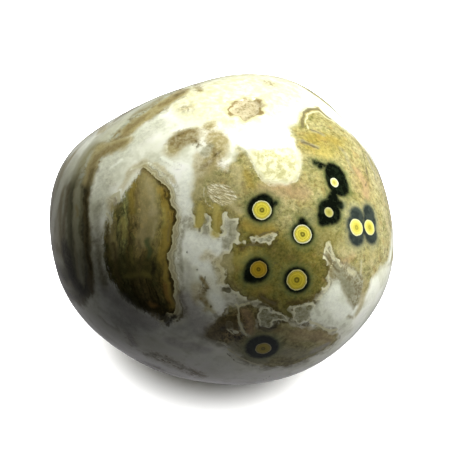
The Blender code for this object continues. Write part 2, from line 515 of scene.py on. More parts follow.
    # Grey, clearer chalcedony.
    made["clear"] = blend_steps(
        zone(
            sheet([(180, 284), (190, 292), (199, 312), (214, 326), (207, 345), (182, 336), (166, 326), (182, 318)]),
            sheet([(104, 292), (124, 303), (140, 318), (150, 330), (130, 335), (108, 318)]),
            globe([(90, -30), (120, -36), (130, -60), (60, -70)]),
            globe([(160, 14), (168, 24), (160, 34), (150, 24)]),
            globe([(270, -44), (300, -50), (330, -66), (260, -66)]),
        ),
        1.4,
    )
    # Pinkish ground near the right end.
    made["pink"] = blend_steps(
        zone(sheet([(352, 165), (362, 168), (372, 190), (366, 202), (356, 192)]), sheet([(268, 172), (300, 182), (306, 198), (284, 196)]), sheet([(300, 330), (330, 330), (322, 344), (300, 345)]), globe([(14, 0), (30, 4), (30, -12), (14, -14)])),
        1.2,
    ) * 0.9

    # Pale healed lines and fine dark ones.
    made["pale"] = strokes(
        (sheet([(247, 166), (250, 168), (254, 173), (258, 178), (262, 181), (268, 181)]), 0.07),
        (sheet([(254, 166), (258, 172), (262, 177), (268, 180), (276, 182), (284, 180), (290, 175)]), 0.07),
        (sheet([(308, 128), (306, 122), (307, 115), (312, 112), (320, 112), (326, 118), (333, 122)]), 0.13),
        (sheet([(146, 164), (153, 166), (160, 172), (168, 180), (173, 187), (174, 196)]), 0.10),
        (sheet([(133, 168), (140, 166), (146, 163)]), 0.12),
        (sheet([(113, 196), (119, 192), (119, 201)]), 0.16),
        (sheet([(107, 214), (110, 218), (111, 223)]), 0.16),
        (sheet([(235, 304), (238, 306), (238, 314), (239, 322), (243, 330), (247, 336)]), 0.10),
        (sheet([(238, 307), (243, 303), (249, 302)]), 0.12),
        (sheet([(227, 330), (233, 334), (240, 332)]), 0.09),
        (sheet([(228, 348), (238, 356), (250, 362), (262, 366)]), 0.09),
        (sheet([(329, 243), (332, 251), (335, 259), (341, 267), (346, 265)]), 0.09),
        (sheet([(326, 249), (331, 256), (332, 263), (329, 268)]), 0.07),
        (sheet([(310, 322), (320, 325), (330, 331), (337, 330)]), 0.12),
        (sheet([(301, 92), (308, 99), (314, 105)]), 0.07),
        (sheet([(205, 186), (204, 196), (207, 204), (213, 208)]), 0.09),
        (globe([(60, 30), (52, 20), (50, 8), (56, -4)]), 0.08),
        (globe([(104, -20), (112, -30), (110, -42)]), 0.10),
        (globe([(172, -10), (182, -14), (196, -14)]), 0.08),
    )
    made["dark"] = strokes(
        (sheet([(302, 127), (302, 119), (304, 112), (310, 109), (318, 109), (324, 114), (329, 118)]), 0.17),
        (sheet([(301, 142), (308, 144), (313, 147), (318, 149)]), 0.13),
        (sheet([(309, 129), (317, 131), (323, 135)]), 0.07),
        (sheet([(300, 92), (306, 99), (313, 104), (319, 109)]), 0.05),
        (sheet([(330, 118), (340, 126), (352, 134), (361, 146), (365, 158), (366, 172)]), 0.07),
        (sheet([(366, 166), (368, 176), (366, 186)]), 0.10),
        (sheet([(258, 236), (266, 233), (277, 232)]), 0.10),
        (sheet([(242, 249), (250, 244), (262, 245)]), 0.10),
        (sheet([(251, 166), (256, 172), (261, 178)]), 0.04),
        (sheet([(262, 328), (268, 331), (275, 329)]), 0.14),
        (sheet([(218, 322), (224, 316), (226, 309)]), 0.12),
        (sheet([(232, 338), (240, 347), (252, 357)]), 0.07),
        (sheet([(226, 352), (236, 361), (248, 366)]), 0.05),
        (sheet([(262, 297), (268, 301), (275, 304)]), 0.12),
        (sheet([(274, 262), (280, 266), (282, 274)]), 0.04),
        (sheet([(322, 252), (328, 259), (333, 268)]), 0.08),
        (sheet([(340, 262), (346, 266), (348, 260)]), 0.07),
        (sheet([(180, 300), (183, 308), (182, 316), (176, 321)]), 0.10),
        (sheet([(206, 276), (203, 286), (208, 292)]), 0.06),
        (sheet([(270, 376), (262, 381), (240, 383)]), 0.05),
        (globe([(62, 30), (54, 20), (52, 8)]), 0.06),
        (globe([(106, -20), (114, -30), (112, -42)]), 0.07),
        (globe([(84, 20), (88, 8), (94, -2)]), 0.06),
        (globe([(215, -20), (226, -30), (230, -42)]), 0.06),
    )

    # Dark halos round the orbs: one or more blobs each, and their bridges.
    black = [(260.5, 209, 13.2), (264, 204, 10.5), (302.6, 233.8, 10.7), (303, 226, 5.5), (257, 269.6, 11.4), (252.5, 274, 8.5), (297, 280.2, 12.0), (329.3, 211.5, 12.2), (333, 200, 6.5), (325, 217, 8.0)]
    cold = [(262, 347.5, 15.0), (354.5, 226, 9.0), (357, 216, 8.0), (356.5, 236, 8.5), (370, 221, 8.6), (371, 234, 8.6), (369, 213, 7.5), (362, 228, 6.0)]
    soft = [(275, 203, 2.2), (315, 163, 2.4), (320, 166, 3.0), (322, 222, 4.0), (340, 205, 4.0), (302, 221, 3.0), (247, 279, 3.0)]
    warm_spots = [(unit(a, e), r) for a, e, r in HIDDEN_HALOS]
    made["halo"] = blobs(
        *((sheet([(x, y)])[0], r / 10.0) for x, y, r in black + cold + soft), *warm_spots
    )
    made["halo"] = np.maximum(
        made["halo"],
        strokes((sheet([(313, 161), (319, 163), (326, 166)]), 0.10), (sheet([(333, 194), (335, 202)]), 0.40)),
    )
    teardrop = sheet([(325, 167), (329, 164), (334, 164), (340, 168), (345, 175), (348, 185), (349, 193), (344, 196), (337, 195), (332, 191), (328, 184), (325, 174)])
    made["halo"] = np.maximum(made["halo"], zone(teardrop))
    made["halo_cold"] = blend_steps(
        zone(sheet([(342, 200), (385, 195), (385, 255), (342, 250)])),
        0.4,
    ) + 0.28 * blend_steps(zone(sheet([(242, 330), (285, 330), (285, 365), (242, 365)])), 0.4)

    return made


# The orbs: centre, radius in mm, tint, how strong the rings are.
ORBS = [
    (sheet([(262.0, 210.0)])[0], 0.92, (1.00, 1.00, 1.00), 1.0),
    (sheet([(302.6, 234.2)])[0], 0.90, (1.08, 1.08, 1.25), 1.0),
    (sheet([(258.4, 269.2)])[0], 0.80, (0.66, 0.53, 0.30), 0.9),
    (sheet([(296.8, 280.2)])[0], 0.99, (0.86, 0.81, 0.66), 1.0),
    (sheet([(263.3, 348.6)])[0], 0.78, (0.62, 0.57, 0.55), 0.7),
    (sheet([(334.6, 182.4)])[0], 0.50, (1.05, 1.08, 1.50), 0.1),
    (sheet([(328.8, 212.2)])[0], 0.50, (0.70, 0.72, 0.80), 0.1),
    (sheet([(356.2, 227.3)])[0], 0.84, (1.06, 1.06, 1.15), 0.45),
    (sheet([(369.8, 227.3)])[0], 0.78, (1.02, 1.02, 1.05), 0.3),
]
HIDDEN_ORBS = [
    (24, -10, 0.95, (1.00, 0.98, 0.90), 1.0),
    (37, -24, 0.85, (0.85, 0.72, 0.45), 0.9),
    (52, -14, 1.00, (1.05, 1.03, 1.00), 1.0),
    (46, 6, 0.80, (1.05, 1.05, 1.20), 1.0),
    (62, 16, 0.55, (1.05, 1.08, 1.50), 0.2),
    (58, 26, 0.50, (0.72, 0.74, 0.85), 0.2),
    (189, -31, 0.92, (1.00, 0.98, 0.90), 1.0),
    (202, -36, 0.80, (0.85, 0.70, 0.40), 0.9),
    (192, -45, 0.88, (1.05, 1.02, 1.00), 1.0),
    (108, 19, 0.85, (1.00, 0.98, 0.95), 1.0),
    (344, -51, 0.80, (0.80, 0.78, 0.90), 0.8),
    (146, -53, 0.75, (0.90, 0.86, 0.90), 0.8),
]
HIDDEN_HALOS = [(a, e, r * 1.32) for a, e, r, _, _ in HIDDEN_ORBS] + [
    (63, 18, 0.95),
    (60, 22, 0.85),
    (61, 28, 0.7),
    (26, -12, 1.0),
    (190, -33, 1.1),
]
ORBS += [(unit(a, e), r, tint, rings) for a, e, r, tint, rings in HIDDEN_ORBS]


# --------------------------------------------------------------- soft strokes
PAINT = {
    "white": (0.94, 0.96, 0.84),
    "greywhite": (0.68, 0.69, 0.55),
    "cream": (0.74, 0.72, 0.52),
    "straw": (0.62, 0.57, 0.34),
    "tan": (0.51, 0.45, 0.24),
    "yellow": (0.60, 0.53, 0.20),
    "ochre": (0.46, 0.37, 0.11),
    "brown": (0.34, 0.28, 0.13),
    "umber": (0.18, 0.145, 0.06),
    "olive": (0.31, 0.28, 0.09),
    "deep": (0.16, 0.15, 0.05),
    "ink": (0.05, 0.045, 0.02),
    "rust": (0.40, 0.25, 0.08),
    "pink": (0.56, 0.43, 0.27),
    # painted shade: the grey-lilac that the white takes in shade, laid low on the stone
    "painted_shade_lilac": (0.48, 0.46, 0.43),
    "stone": (0.42, 0.41, 0.29),
    "green": (0.20, 0.23, 0.10),
}


def painted(marks):
    """The strokes over the whole stone, in the order they are laid."""
    patch = blend_steps(marks["patch"] - 0.10, 0.12)
    field = blend_steps(marks["field"] - 0.05, 0.20)
    unlimited = None
    laid = []

    def lay(limit, rows):
        for colour, half, soft, strength, places in rows:
            laid.append((colour, half, soft, strength, sheet(places), limit))

    def lay_round(limit, rows):
        for colour, half, soft, strength, places in rows:
            laid.append((colour, half, soft, strength, globe(places), limit))

    lay(unlimited, [
        ("yellow", 3.5, 2.5, 0.75, [(201, 208), (201, 220), (200, 227)]),
        ("yellow", 4, 3, 0.75, [(217, 208), (217, 222), (216, 232)]),
        ("ochre", 1.2, 1.5, 0.60, [(219, 214), (219, 228)]),
        ("stone", 1.5, 1.5, 0.70, [(207, 218), (207, 232), (203, 240), (214, 243), (226, 240)]),
        ("straw", 3, 3, 0.60, [(222, 196), (232, 204), (240, 212)]),
    ])
    # inside the brown patch
    lay(patch, [
        ("deep", 10, 8, 0.55, [(122, 266), (140, 268), (156, 266)]),
        ("tan", 8, 5, 0.70, [(148, 174), (149, 200), (148, 225), (146, 238)]),
        ("straw", 3, 3, 0.50, [(150, 180), (152, 200), (151, 214)]),
        ("brown", 2, 2, 0.60, [(137, 180), (137, 195), (136, 206)]),
        ("ochre", 3, 3, 0.60, [(132, 184), (131, 198), (133, 212)]),
        ("umber", 1, 1.2, 0.70, [(129, 212), (130, 224), (129, 240)]),
        ("yellow", 3, 3, 0.50, [(123, 222), (124, 237)]),
        ("umber", 1, 1.2, 0.60, [(120, 226), (121, 242)]),
        ("tan", 3, 3, 0.60, [(112, 222), (113, 240), (115, 256)]),
        ("umber", 1.2, 1.2, 0.80, [(105, 217), (106, 228), (107, 242)]),
        ("cream", 0.8, 1, 0.70, [(109, 218), (110, 232)]),
        ("umber", 1.5, 2, 0.70, [(113, 243), (116, 258), (118, 272), (121, 287)]),
        ("ochre", 4, 3, 0.85, [(166, 204), (169, 220), (168, 235), (165, 250), (164, 262)]),
        ("yellow", 2.5, 2.5, 0.60, [(163, 210), (165, 222)]),
        ("ochre", 3, 3, 0.75, [(165, 262), (167, 280), (170, 295), (173, 306)]),
        ("brown", 0.7, 1, 0.70, [(160, 212), (159, 235), (158, 252)]),
        ("brown", 0.6, 0.9, 0.60, [(171, 208), (171, 222), (169, 240)]),
        ("umber", 0.6, 0.9, 0.60, [(162, 262), (164, 282), (168, 302)]),
        ("ink", 6, 6, 0.60, [(128, 296), (145, 304), (160, 310)]),
        ("green", 2.5, 2, 0.70, [(149, 240), (150, 250), (149, 256)]),
        ("ink", 1.5, 1.5, 0.70, [(154, 262), (153, 273)]),
        ("olive", 2, 2, 0.60, [(126, 276), (138, 274), (150, 277)]),
        ("rust", 2, 2, 0.60, [(150, 302), (155, 307)]),
        ("rust", 2, 2, 0.60, [(166, 286), (169, 299)]),
        ("brown", 1.2, 1.5, 0.60, [(143, 170), (152, 176), (160, 183), (168, 190)]),
        ("umber", 1.2, 2, 0.50, [(140, 240), (141, 262), (139, 280)]),
        ("straw", 1.5, 2, 0.45, [(153, 222), (154, 237)]),
        ("ink", 2, 3, 0.70, [(166, 302), (160, 315)]),
        ("olive", 1.5, 1.5, 0.60, [(130, 246), (132, 262)]),
        ("tan", 1.0, 1.5, 0.50, [(143, 208), (143, 236)]),
    ])
    # round the patch
    lay(unlimited, [
        ("tan", 4, 4, 0.55, [(128, 174), (136, 167), (146, 162)]),
        ("straw", 3, 3, 0.50, [(126, 180), (120, 190)]),
        ("tan", 4, 4, 0.55, [(110, 199), (113, 208)]),
        ("brown", 1.2, 1.5, 0.60, [(114, 197), (116, 204)]),
        ("white", 1.2, 1.0, 0.90, [(119, 190), (119, 200)]),
        ("white", 0.9, 0.8, 0.90, [(131, 170), (136, 168)]),
        ("white", 0.9, 0.8, 0.90, [(148, 163), (155, 166), (161, 170)]),
        ("white", 1.0, 0.8, 0.90, [(109, 217), (111, 221)]),
        ("straw", 2.2, 2, 0.55, [(156, 164), (166, 172), (174, 182)]),
        ("stone", 1.5, 2.5, 0.55, [(186, 212), (184, 235), (181, 250), (180, 270), (184, 290)]),
        ("umber", 2, 2, 0.65, [(181, 292), (184, 306), (181, 317)]),
        ("ink", 2, 1.5, 0.75, [(163, 317), (168, 322), (176, 318)]),
        # painted shade: grey-lilac low on the white below the patch
        ("painted_shade_lilac", 7, 6, 0.50, [(105, 286), (120, 301), (135, 313), (152, 324)]),
        ("greywhite", 10, 9, 0.72, [(158, 124), (134, 142), (116, 158), (104, 180), (98, 200)]),
        ("stone", 5, 6, 0.60, [(98, 206), (97, 232), (99, 258), (104, 282)]),
        ("white", 1.6, 2, 0.60, [(122, 160), (112, 168)]),
    ])
    # the white column
    lay(unlimited, [
        ("white", 5, 5, 0.90, [(188, 172), (185, 192), (186, 212)]),
        ("white", 8, 5, 0.95, [(193, 242), (205, 244), (214, 248)]),
        ("white", 5, 5, 0.85, [(192, 258), (200, 262), (206, 268)]),
        ("straw", 4, 4, 0.50, [(206, 256), (216, 260), (222, 264)]),
        ("stone", 4, 5, 0.40, [(186, 262), (188, 280), (190, 296)]),
        ("tan", 3, 3, 0.50, [(197, 286), (195, 302)]),
        ("brown", 2.5, 2, 0.75, [(203, 279), (207, 287), (202, 296), (206, 300)]),
        ("umber", 1, 1, 0.70, [(204, 292), (209, 287)]),
        ("tan", 2, 2, 0.65, [(204, 310), (210, 303), (215, 311)]),
        ("white", 4, 3, 0.80, [(214, 294), (222, 302), (218, 306)]),
        ("stone", 5, 5, 0.50, [(228, 296), (238, 302)]),
        # painted shade: grey-lilac at the foot of the white column
        ("painted_shade_lilac", 8, 7, 0.50, [(186, 302), (196, 318), (210, 332)]),
        ("straw", 5, 5, 0.45, [(195, 196), (196, 178), (206, 172)]),
    ])
    # clouds of brown high on the white
    lay(unlimited, [
        ("tan", 8, 6, 0.75, [(172, 150), (178, 140), (194, 134)]),
        ("brown", 4, 3.5, 0.75, [(172, 142), (178, 136), (186, 132), (195, 131)]),
        ("brown", 6, 5, 0.70, [(180, 143), (192, 139)]),
        ("umber", 0.9, 1, 0.60, [(176, 137), (181, 134), (185, 133)]),
        ("tan", 3.5, 3, 0.65, [(207, 128), (213, 124)]),
        ("tan", 9, 6, 0.75, [(214, 137), (221, 144), (217, 154), (207, 165)]),
        ("tan", 4, 4, 0.60, [(198, 156), (196, 168), (200, 180)]),
        ("stone", 4, 3, 0.60, [(210, 147), (206, 155)]),
        ("brown", 2, 2, 0.65, [(213, 150), (217, 158), (210, 163), (203, 168)]),
        ("umber", 1.1, 1.2, 0.70, [(195, 141), (200, 145)]),
        ("umber", 1.1, 1.2, 0.60, [(215, 157), (220, 151)]),
        ("tan", 3, 3, 0.45, [(204, 172), (212, 178), (222, 180)]),
        ("white", 2.2, 2, 0.70, [(163, 157), (170, 163), (177, 167)]),
        ("cream", 1, 1, 0.80, [(165, 144), (167, 152)]),
        ("straw", 2, 2, 0.50, [(181, 110), (192, 107)]),
    ])
    # the rind
    lay(unlimited, [
        ("greywhite", 7, 6, 0.75, [(160, 96), (138, 108), (120, 122), (104, 136)]),
        ("tan", 8, 5, 0.75, [(182, 92), (168, 101), (152, 112), (140, 120), (130, 129)]),
        ("brown", 4, 4, 0.60, [(184, 90), (174, 98), (162, 105)]),
        ("brown", 4, 4, 0.60, [(140, 119), (131, 126), (128, 133)]),
        ("umber", 2, 2.5, 0.45, [(182, 92), (175, 96)]),
        ("greywhite", 6, 5, 0.80, [(124, 120), (116, 128), (106, 138)]),
        ("tan", 7, 5, 0.75, [(126, 142), (112, 146), (99, 150), (92, 164), (88, 178)]),
        ("brown", 4, 4, 0.65, [(122, 144), (108, 149), (96, 158), (90, 172)]),
        ("umber", 3, 3, 0.60, [(92, 170), (88, 184)]),
        # painted reflection: a white band along the upper-left rim, where the polished rim mirrors the bright
        # surroundings
        ("white", 9, 6, 0.85, [(172, 86), (148, 97), (124, 111), (102, 129), (84, 146), (70, 165)]),
        # painted reflection: grey-white along the left rim
        ("greywhite", 9, 6, 0.80, [(72, 164), (62, 184), (55, 206), (52, 228)]),
        ("umber", 3, 2.5, 0.80, [(88, 192), (88, 230), (90, 260), (93, 288)]),
        ("ink", 1.4, 1.6, 0.60, [(87, 190), (88, 215), (88, 240), (90, 268)]),
        ("stone", 3.5, 3, 0.70, [(77, 190), (76, 222), (78, 248)]),
        ("brown", 1.5, 2, 0.50, [(77, 205), (78, 216)]),
        ("umber", 4, 4, 0.60, [(69, 186), (66, 206), (64, 232), (66, 262)]),
        ("ink", 5, 6, 0.80, [(68, 258), (73, 276), (80, 287)]),
        ("ink", 7, 7, 0.70, [(64, 246), (68, 266), (76, 284)]),
        ("stone", 2, 2, 0.50, [(83, 244), (83, 262)]),
        ("umber", 3, 4, 0.45, [(97, 244), (100, 262), (106, 282)]),
        ("cream", 1.6, 1.4, 0.70, [(111, 123), (104, 131)]),
        ("brown", 2, 2, 0.60, [(196, 87), (201, 91)]),
    ])
    # the field
    lay(field, [
        ("pink", 7, 7, 0.40, [(262, 191), (285, 190), (304, 192)]),
        ("stone", 5, 5, 0.25, [(308, 215), (314, 222)]),
        ("olive", 7, 7, 0.55, [(312, 238), (322, 236), (334, 240)]),
        ("ochre", 4, 5, 0.35, [(316, 228), (330, 226)]),
        ("ochre", 5, 4, 0.55, [(248, 225), (259, 231), (270, 229)]),
        ("straw", 5, 5, 0.50, [(235, 168), (240, 186)]),
        ("ochre", 3, 3, 0.50, [(246, 172), (252, 184)]),
        ("brown", 1.8, 2, 0.55, [(244, 184), (248, 193)]),
        ("yellow", 5, 4, 0.45, [(240, 262), (247, 257)]),
        ("straw", 4, 3, 0.50, [(230, 258), (229, 268)]),
        ("deep", 7, 6, 0.40, [(270, 256), (282, 250), (292, 257)]),
        ("ochre", 4, 4, 0.40, [(256, 290), (268, 288)]),
        ("umber", 2.6, 2, 0.75, [(259, 296), (267, 300), (276, 303)]),
        ("umber", 1.8, 1.8, 0.80, [(290, 303), (302, 302), (313, 299), (322, 292)]),
        ("umber", 1, 1.5, 0.55, [(326, 285), (327, 272)]),
        ("umber", 1.6, 1.5, 0.70, [(241, 249), (250, 246), (264, 245)]),
        ("umber", 1, 1.5, 0.50, [(225, 276), (232, 285), (240, 292)]),
        ("deep", 3, 3, 0.60, [(286, 308), (290, 316)]),
        ("straw", 6, 6, 0.45, [(346, 248), (356, 243)]),
        ("ochre", 5, 5, 0.45, [(308, 136), (324, 136), (336, 141)]),
        ("stone", 2, 2, 0.75, [(301, 141), (309, 145), (318, 149)]),
        ("umber", 0.7, 0.8, 0.70, [(302, 141), (309, 145), (315, 148)]),
        ("stone", 1.6, 2, 0.60, [(314, 131), (323, 134)]),
        ("yellow", 5, 5, 0.40, [(318, 153), (330, 155)]),
        ("stone", 2, 3, 0.45, [(340, 148), (348, 160), (353, 172)]),
        ("pink", 3.5, 3, 0.60, [(358, 172), (364, 184), (366, 196)]),
        ("brown", 0.9, 1.2, 0.60, [(366, 172), (367, 182)]),
        ("stone", 2, 2, 0.50, [(364, 148), (369, 160), (376, 178)]),
        # painted reflection: a white band along the right rim
        ("white", 5, 6, 0.75, [(372, 158), (384, 184), (391, 212), (392, 246), (386, 272)]),
        ("pink", 3, 3, 0.40, [(345, 262), (352, 256)]),
        ("cream", 1.4, 1.5, 0.60, [(362, 260), (362, 272)]),
        ("straw", 4, 4, 0.40, [(374, 250), (372, 262)]),
    ])
    lay(unlimited, [
        ("stone", 4, 4, 0.65, [(230, 224), (232, 236), (226, 246)]),
        ("straw", 3, 3, 0.45, [(222, 256), (219, 268), (222, 280)]),
        ("stone", 4, 3, 0.70, [(338, 268), (345, 278), (350, 292)]),
        ("tan", 3, 3, 0.60, [(366, 282), (362, 300), (356, 314)]),
        ("umber", 0.9, 1, 0.70, [(330, 256), (333, 266), (340, 271)]),
        ("brown", 2, 2, 0.60, [(326, 252), (330, 264), (332, 276)]),
        ("cream", 1.8, 1.6, 0.80, [(350, 269), (355, 273)]),
        ("white", 6, 4, 0.95, [(335, 290), (331, 304), (342, 314)]),
        ("white", 5, 4, 0.60, [(374, 286), (368, 306), (358, 326)]),
        ("brown", 1, 1.2, 0.60, [(346, 317), (351, 320)]),
        ("stone", 2.5, 2, 0.60, [(300, 312), (306, 316)]),
    ])
    # the lobe at the foot
    lay(unlimited, [
        ("stone", 6, 5, 0.60, [(234, 346), (246, 354), (262, 360)]),
        ("umber", 6, 5, 0.85, [(211, 334), (221, 328), (232, 322)]),
        ("ink", 1.4, 1.4, 0.75, [(221, 331), (226, 326)]),
        ("ink", 1.2, 1.4, 0.70, [(236, 340), (246, 333)]),
        ("pink", 4, 4, 0.50, [(246, 312), (251, 324), (250, 334)]),
        ("brown", 4, 4, 0.50, [(262, 334), (276, 332)]),
        ("pink", 6, 5, 0.35, [(298, 334), (318, 336), (330, 339)]),
        ("brown", 4, 5, 0.35, [(284, 328), (298, 340)]),
        ("stone", 6, 5, 0.50, [(284, 352), (300, 355), (312, 352)]),
        # painted shade: grey-lilac on the lobe's lower edge, low on the stone
        ("painted_shade_lilac", 4, 4, 0.50, [(314, 350), (326, 346)]),
        ("greywhite", 1.2, 1.5, 0.60, [(240, 322), (242, 331), (248, 337)]),
        ("ink", 2, 1.5, 0.70, [(264, 328), (270, 330), (276, 327)]),
        ("umber", 1.5, 1.5, 0.60, [(228, 289), (224, 290)]),
    ])
    # the foot of the stone
    lay(unlimited, [
        # painted reflection: pale white just inside the bottom rim, standing in for the floor that the rim mirrors
        ("white", 8, 7, 0.50, [(215, 360), (235, 376), (262, 378)]),
        ("stone", 3, 2.5, 0.65, [(144, 354), (158, 355), (172, 361), (188, 369), (203, 376)]),
        ("brown", 2, 1.6, 0.65, [(193, 371), (204, 376)]),
        # painted shade: grey-lilac near the lower-left rim
        ("painted_shade_lilac", 3, 4, 0.60, [(129, 334), (133, 345)]),
        ("stone", 2.5, 3, 0.40, [(100, 318), (118, 330)]),
        # painted shade: grey-lilac low on the white above the foot
        ("painted_shade_lilac", 5, 5, 0.45, [(170, 340), (188, 346), (206, 350)]),
    ])
    # sides out of view
    lay_round(unlimited, [
        ("white", 12, 10, 0.70, [(100, -5), (112, -12), (118, -30)]),
        ("white", 10, 9, 0.60, [(165, 10), (160, 30)]),
        ("tan", 5, 5, 0.60, [(92, 6), (97, -6), (94, -14)]),
        ("brown", 2.5, 2.5, 0.65, [(90, 8), (95, -4)]),
        ("umber", 1.2, 1.4, 0.65, [(92, 2), (96, -8), (102, -12)]),
        ("tan", 6, 5, 0.60, [(154, 34), (160, 38)]),
        ("stone", 5, 6, 0.55, [(84, -26), (98, -34), (116, -42)]),
        ("umber", 3, 3, 0.60, [(80, -44), (92, -46), (104, -52)]),
        # painted shade: grey-lilac on the underside
        ("painted_shade_lilac", 8, 8, 0.55, [(120, -44), (100, -60), (70, -58)]),
        ("straw", 4, 4, 0.50, [(30, 4), (46, 16), (60, 22)]),
        ("ochre", 5, 5, 0.50, [(30, -18), (44, -14), (58, -8)]),
        ("deep", 5, 5, 0.45, [(38, -18), (50, -22)]),
        ("pink", 5, 5, 0.45, [(14, -2), (28, 8)]),
        ("umber", 1.6, 1.6, 0.65, [(26, -28), (42, -32), (56, -26)]),
        ("stone", 4, 4, 0.55, [(8, -30), (0, -40), (350, -46)]),
        ("tan", 5, 4, 0.60, [(226, -50), (244, -54), (260, -53)]),
        ("brown", 2.2, 2.2, 0.60, [(232, -53), (250, -56)]),
        ("ochre", 4, 4, 0.55, [(186, -26), (198, -30), (206, -38)]),
        ("umber", 1.6, 1.6, 0.60, [(176, -34), (180, -46), (192, -52)]),
        ("stone", 3, 3, 0.55, [(215, -28), (220, -40)]),
        ("white", 5, 4, 0.80, [(218, -20), (224, -34)]),
        ("tan", 8, 6, 0.60, [(133, 8), (137, -8), (138, -18)]),
        ("ochre", 4, 3, 0.75, [(150, 4), (153, -8), (150, -20)]),
        ("umber", 1.2, 1.4, 0.70, [(128, 6), (129, -8), (131, -20)]),
        ("brown", 1.2, 1.6, 0.60, [(142, 10), (144, -6), (143, -22)]),
        ("green", 2.5, 2.0, 0.60, [(140, -14), (140, -20)]),
        ("yellow", 3, 3, 0.50, [(124, -2), (125, -12)]),
        ("greywhite", 8, 7, 0.60, [(178, 10), (184, 0)]),
        ("umber", 3, 3, 0.65, [(192, 4), (194, -8)]),
        ("brown", 4, 4, 0.60, [(168, -4), (165, 8)]),
    ])
    return brush(*laid)


# ------------------------------------------------------------------------- the material
class Graph:
    """Short names for building a node tree."""

    def __init__(self, tree):
        self.tree = tree

    def node(self, kind, inputs=(), **settings):
        made = self.tree.nodes.new(kind)
        for name, value in settings.items():
            setattr(made, name, value)
        for key, value in dict(inputs).items():
            self.plug(made.inputs[key], value)
        return made

    def plug(self, socket, value):
        if isinstance(value, bpy.types.NodeSocket):
            self.tree.links.new(value, socket)
        elif value is not None:
            if socket.type == "RGBA" and len(value) == 3:
                value = (*value, 1.0)
            socket.default_value = value

    def math(self, operation, a, b=None, c=None, clamp=False):
        made = self.node("ShaderNodeMath", operation=operation, use_clamp=clamp)
        for socket, value in zip(made.inputs, (a, b, c)):
            self.plug(socket, value)
        return made.outputs[0]

    def add(self, a, b):
        return self.math("ADD", a, b)

    def mul(self, a, b, clamp=False):
        return self.math("MULTIPLY", a, b, clamp=clamp)

    def mad(self, a, b, c, clamp=False):
        """a * b + c"""
        return self.math("MULTIPLY_ADD", a, b, c, clamp=clamp)

    def high(self, a, b):
        return self.math("MAXIMUM", a, b)

    def low(self, a, b):
        return self.math("MINIMUM", a, b)

    def vector(self, operation, a, b=None, scale=None):
        made = self.node("ShaderNodeVectorMath", operation=operation)
        self.plug(made.inputs[0], a)
        if b is not None:
            self.plug(made.inputs[1], b)
        if scale is not None:
            self.plug(made.inputs["Scale"], scale)
        return made.outputs["Value" if operation in ("DOT_PRODUCT", "DISTANCE", "LENGTH") else "Vector"]

    def attribute(self, name):
        return self.node("ShaderNodeAttribute", attribute_name=name).outputs["Fac"]

    def attribute_colour(self, name):
        return self.node("ShaderNodeAttribute", attribute_name=name).outputs["Color"]

    def noise(self, where, scale, detail=2.0, rough=0.5, warp=0.0, colour=False):
        made = self.node(
            "ShaderNodeTexNoise",
            {"Vector": where, "Scale": scale, "Detail": detail, "Roughness": rough, "Distortion": warp},
        )
        return made.outputs["Color" if colour else "Fac"]

    def cells(self, where, scale, feature="F1", random=1.0):
        made = self.node(
            "ShaderNodeTexVoronoi",
            {"Vector": where, "Scale": scale, "Randomness": random},
            feature=feature,
        )
        return made.outputs["Distance"]

    def ease(self, value, start, end, low=0.0, high=1.0):
        """A smooth step of value from start to end, clamped."""
        made = self.node("ShaderNodeMapRange", interpolation_type="SMOOTHSTEP", clamp=True)
        for key, number in zip(
            ("Value", "From Min", "From Max", "To Min", "To Max"), (value, start, end, low, high)
        ):
            self.plug(made.inputs[key], number)
        return made.outputs["Result"]

    def ridge(self, value, at, half, soft):
        """1 where value is within half of at, falling to 0 over soft either side."""
        away = self.math("ABSOLUTE", self.math("SUBTRACT", value, at))
        return self.ease(away, half, half + soft, 1.0, 0.0)

    def ramp(self, value, stops, interpolation="LINEAR"):
        made = self.node("ShaderNodeValToRGB", {"Fac": value})
        made.color_ramp.interpolation = interpolation
        elements = made.color_ramp.elements
        for k, (position, colour) in enumerate(stops):
            stop = elements[k] if k < 2 else elements.new(position)
            stop.position = position
            stop.color = (*colour, 1.0) if len(colour) == 3 else colour
        return made.outputs["Color"]

    def mix(self, amount, a, b, blend="MIX"):
        made = self.node("ShaderNodeMix", data_type="RGBA", blend_type=blend, clamp_factor=True)
        self.plug(made.inputs["Factor"], amount)
        for key, value in (("A", a), ("B", b)):
            socket = next(s for s in made.inputs if s.name == key and s.type == "RGBA")
            self.plug(socket, value)
        return next(s for s in made.outputs if s.type == "RGBA")


# Colours, as the stone's own and not as lit.
WHITE = (0.97, 0.985, 0.86)
WHITE_DIM = (0.74, 0.75, 0.61)
CLEAR = (0.50, 0.50, 0.44)
STAIN = (0.66, 0.65, 0.43)
TAN = (0.53, 0.49, 0.26)
TAN_PALE = (0.60, 0.56, 0.34)
OLIVE = (0.34, 0.305, 0.095)
OLIVE_DEEP = (0.22, 0.205, 0.06)
OCHRE = (0.50, 0.42, 0.13)
CREAM = (0.64, 0.61, 0.38)
PATCH_TAN = (0.48, 0.40, 0.165)
PATCH_MID = (0.36, 0.32, 0.14)
PATCH_OLIVE = (0.20, 0.19, 0.07)
PATCH_DARK = (0.12, 0.10, 0.04)
BLACK_GREEN = (0.013, 0.018, 0.010)
NAVY = (0.070, 0.085, 0.075)


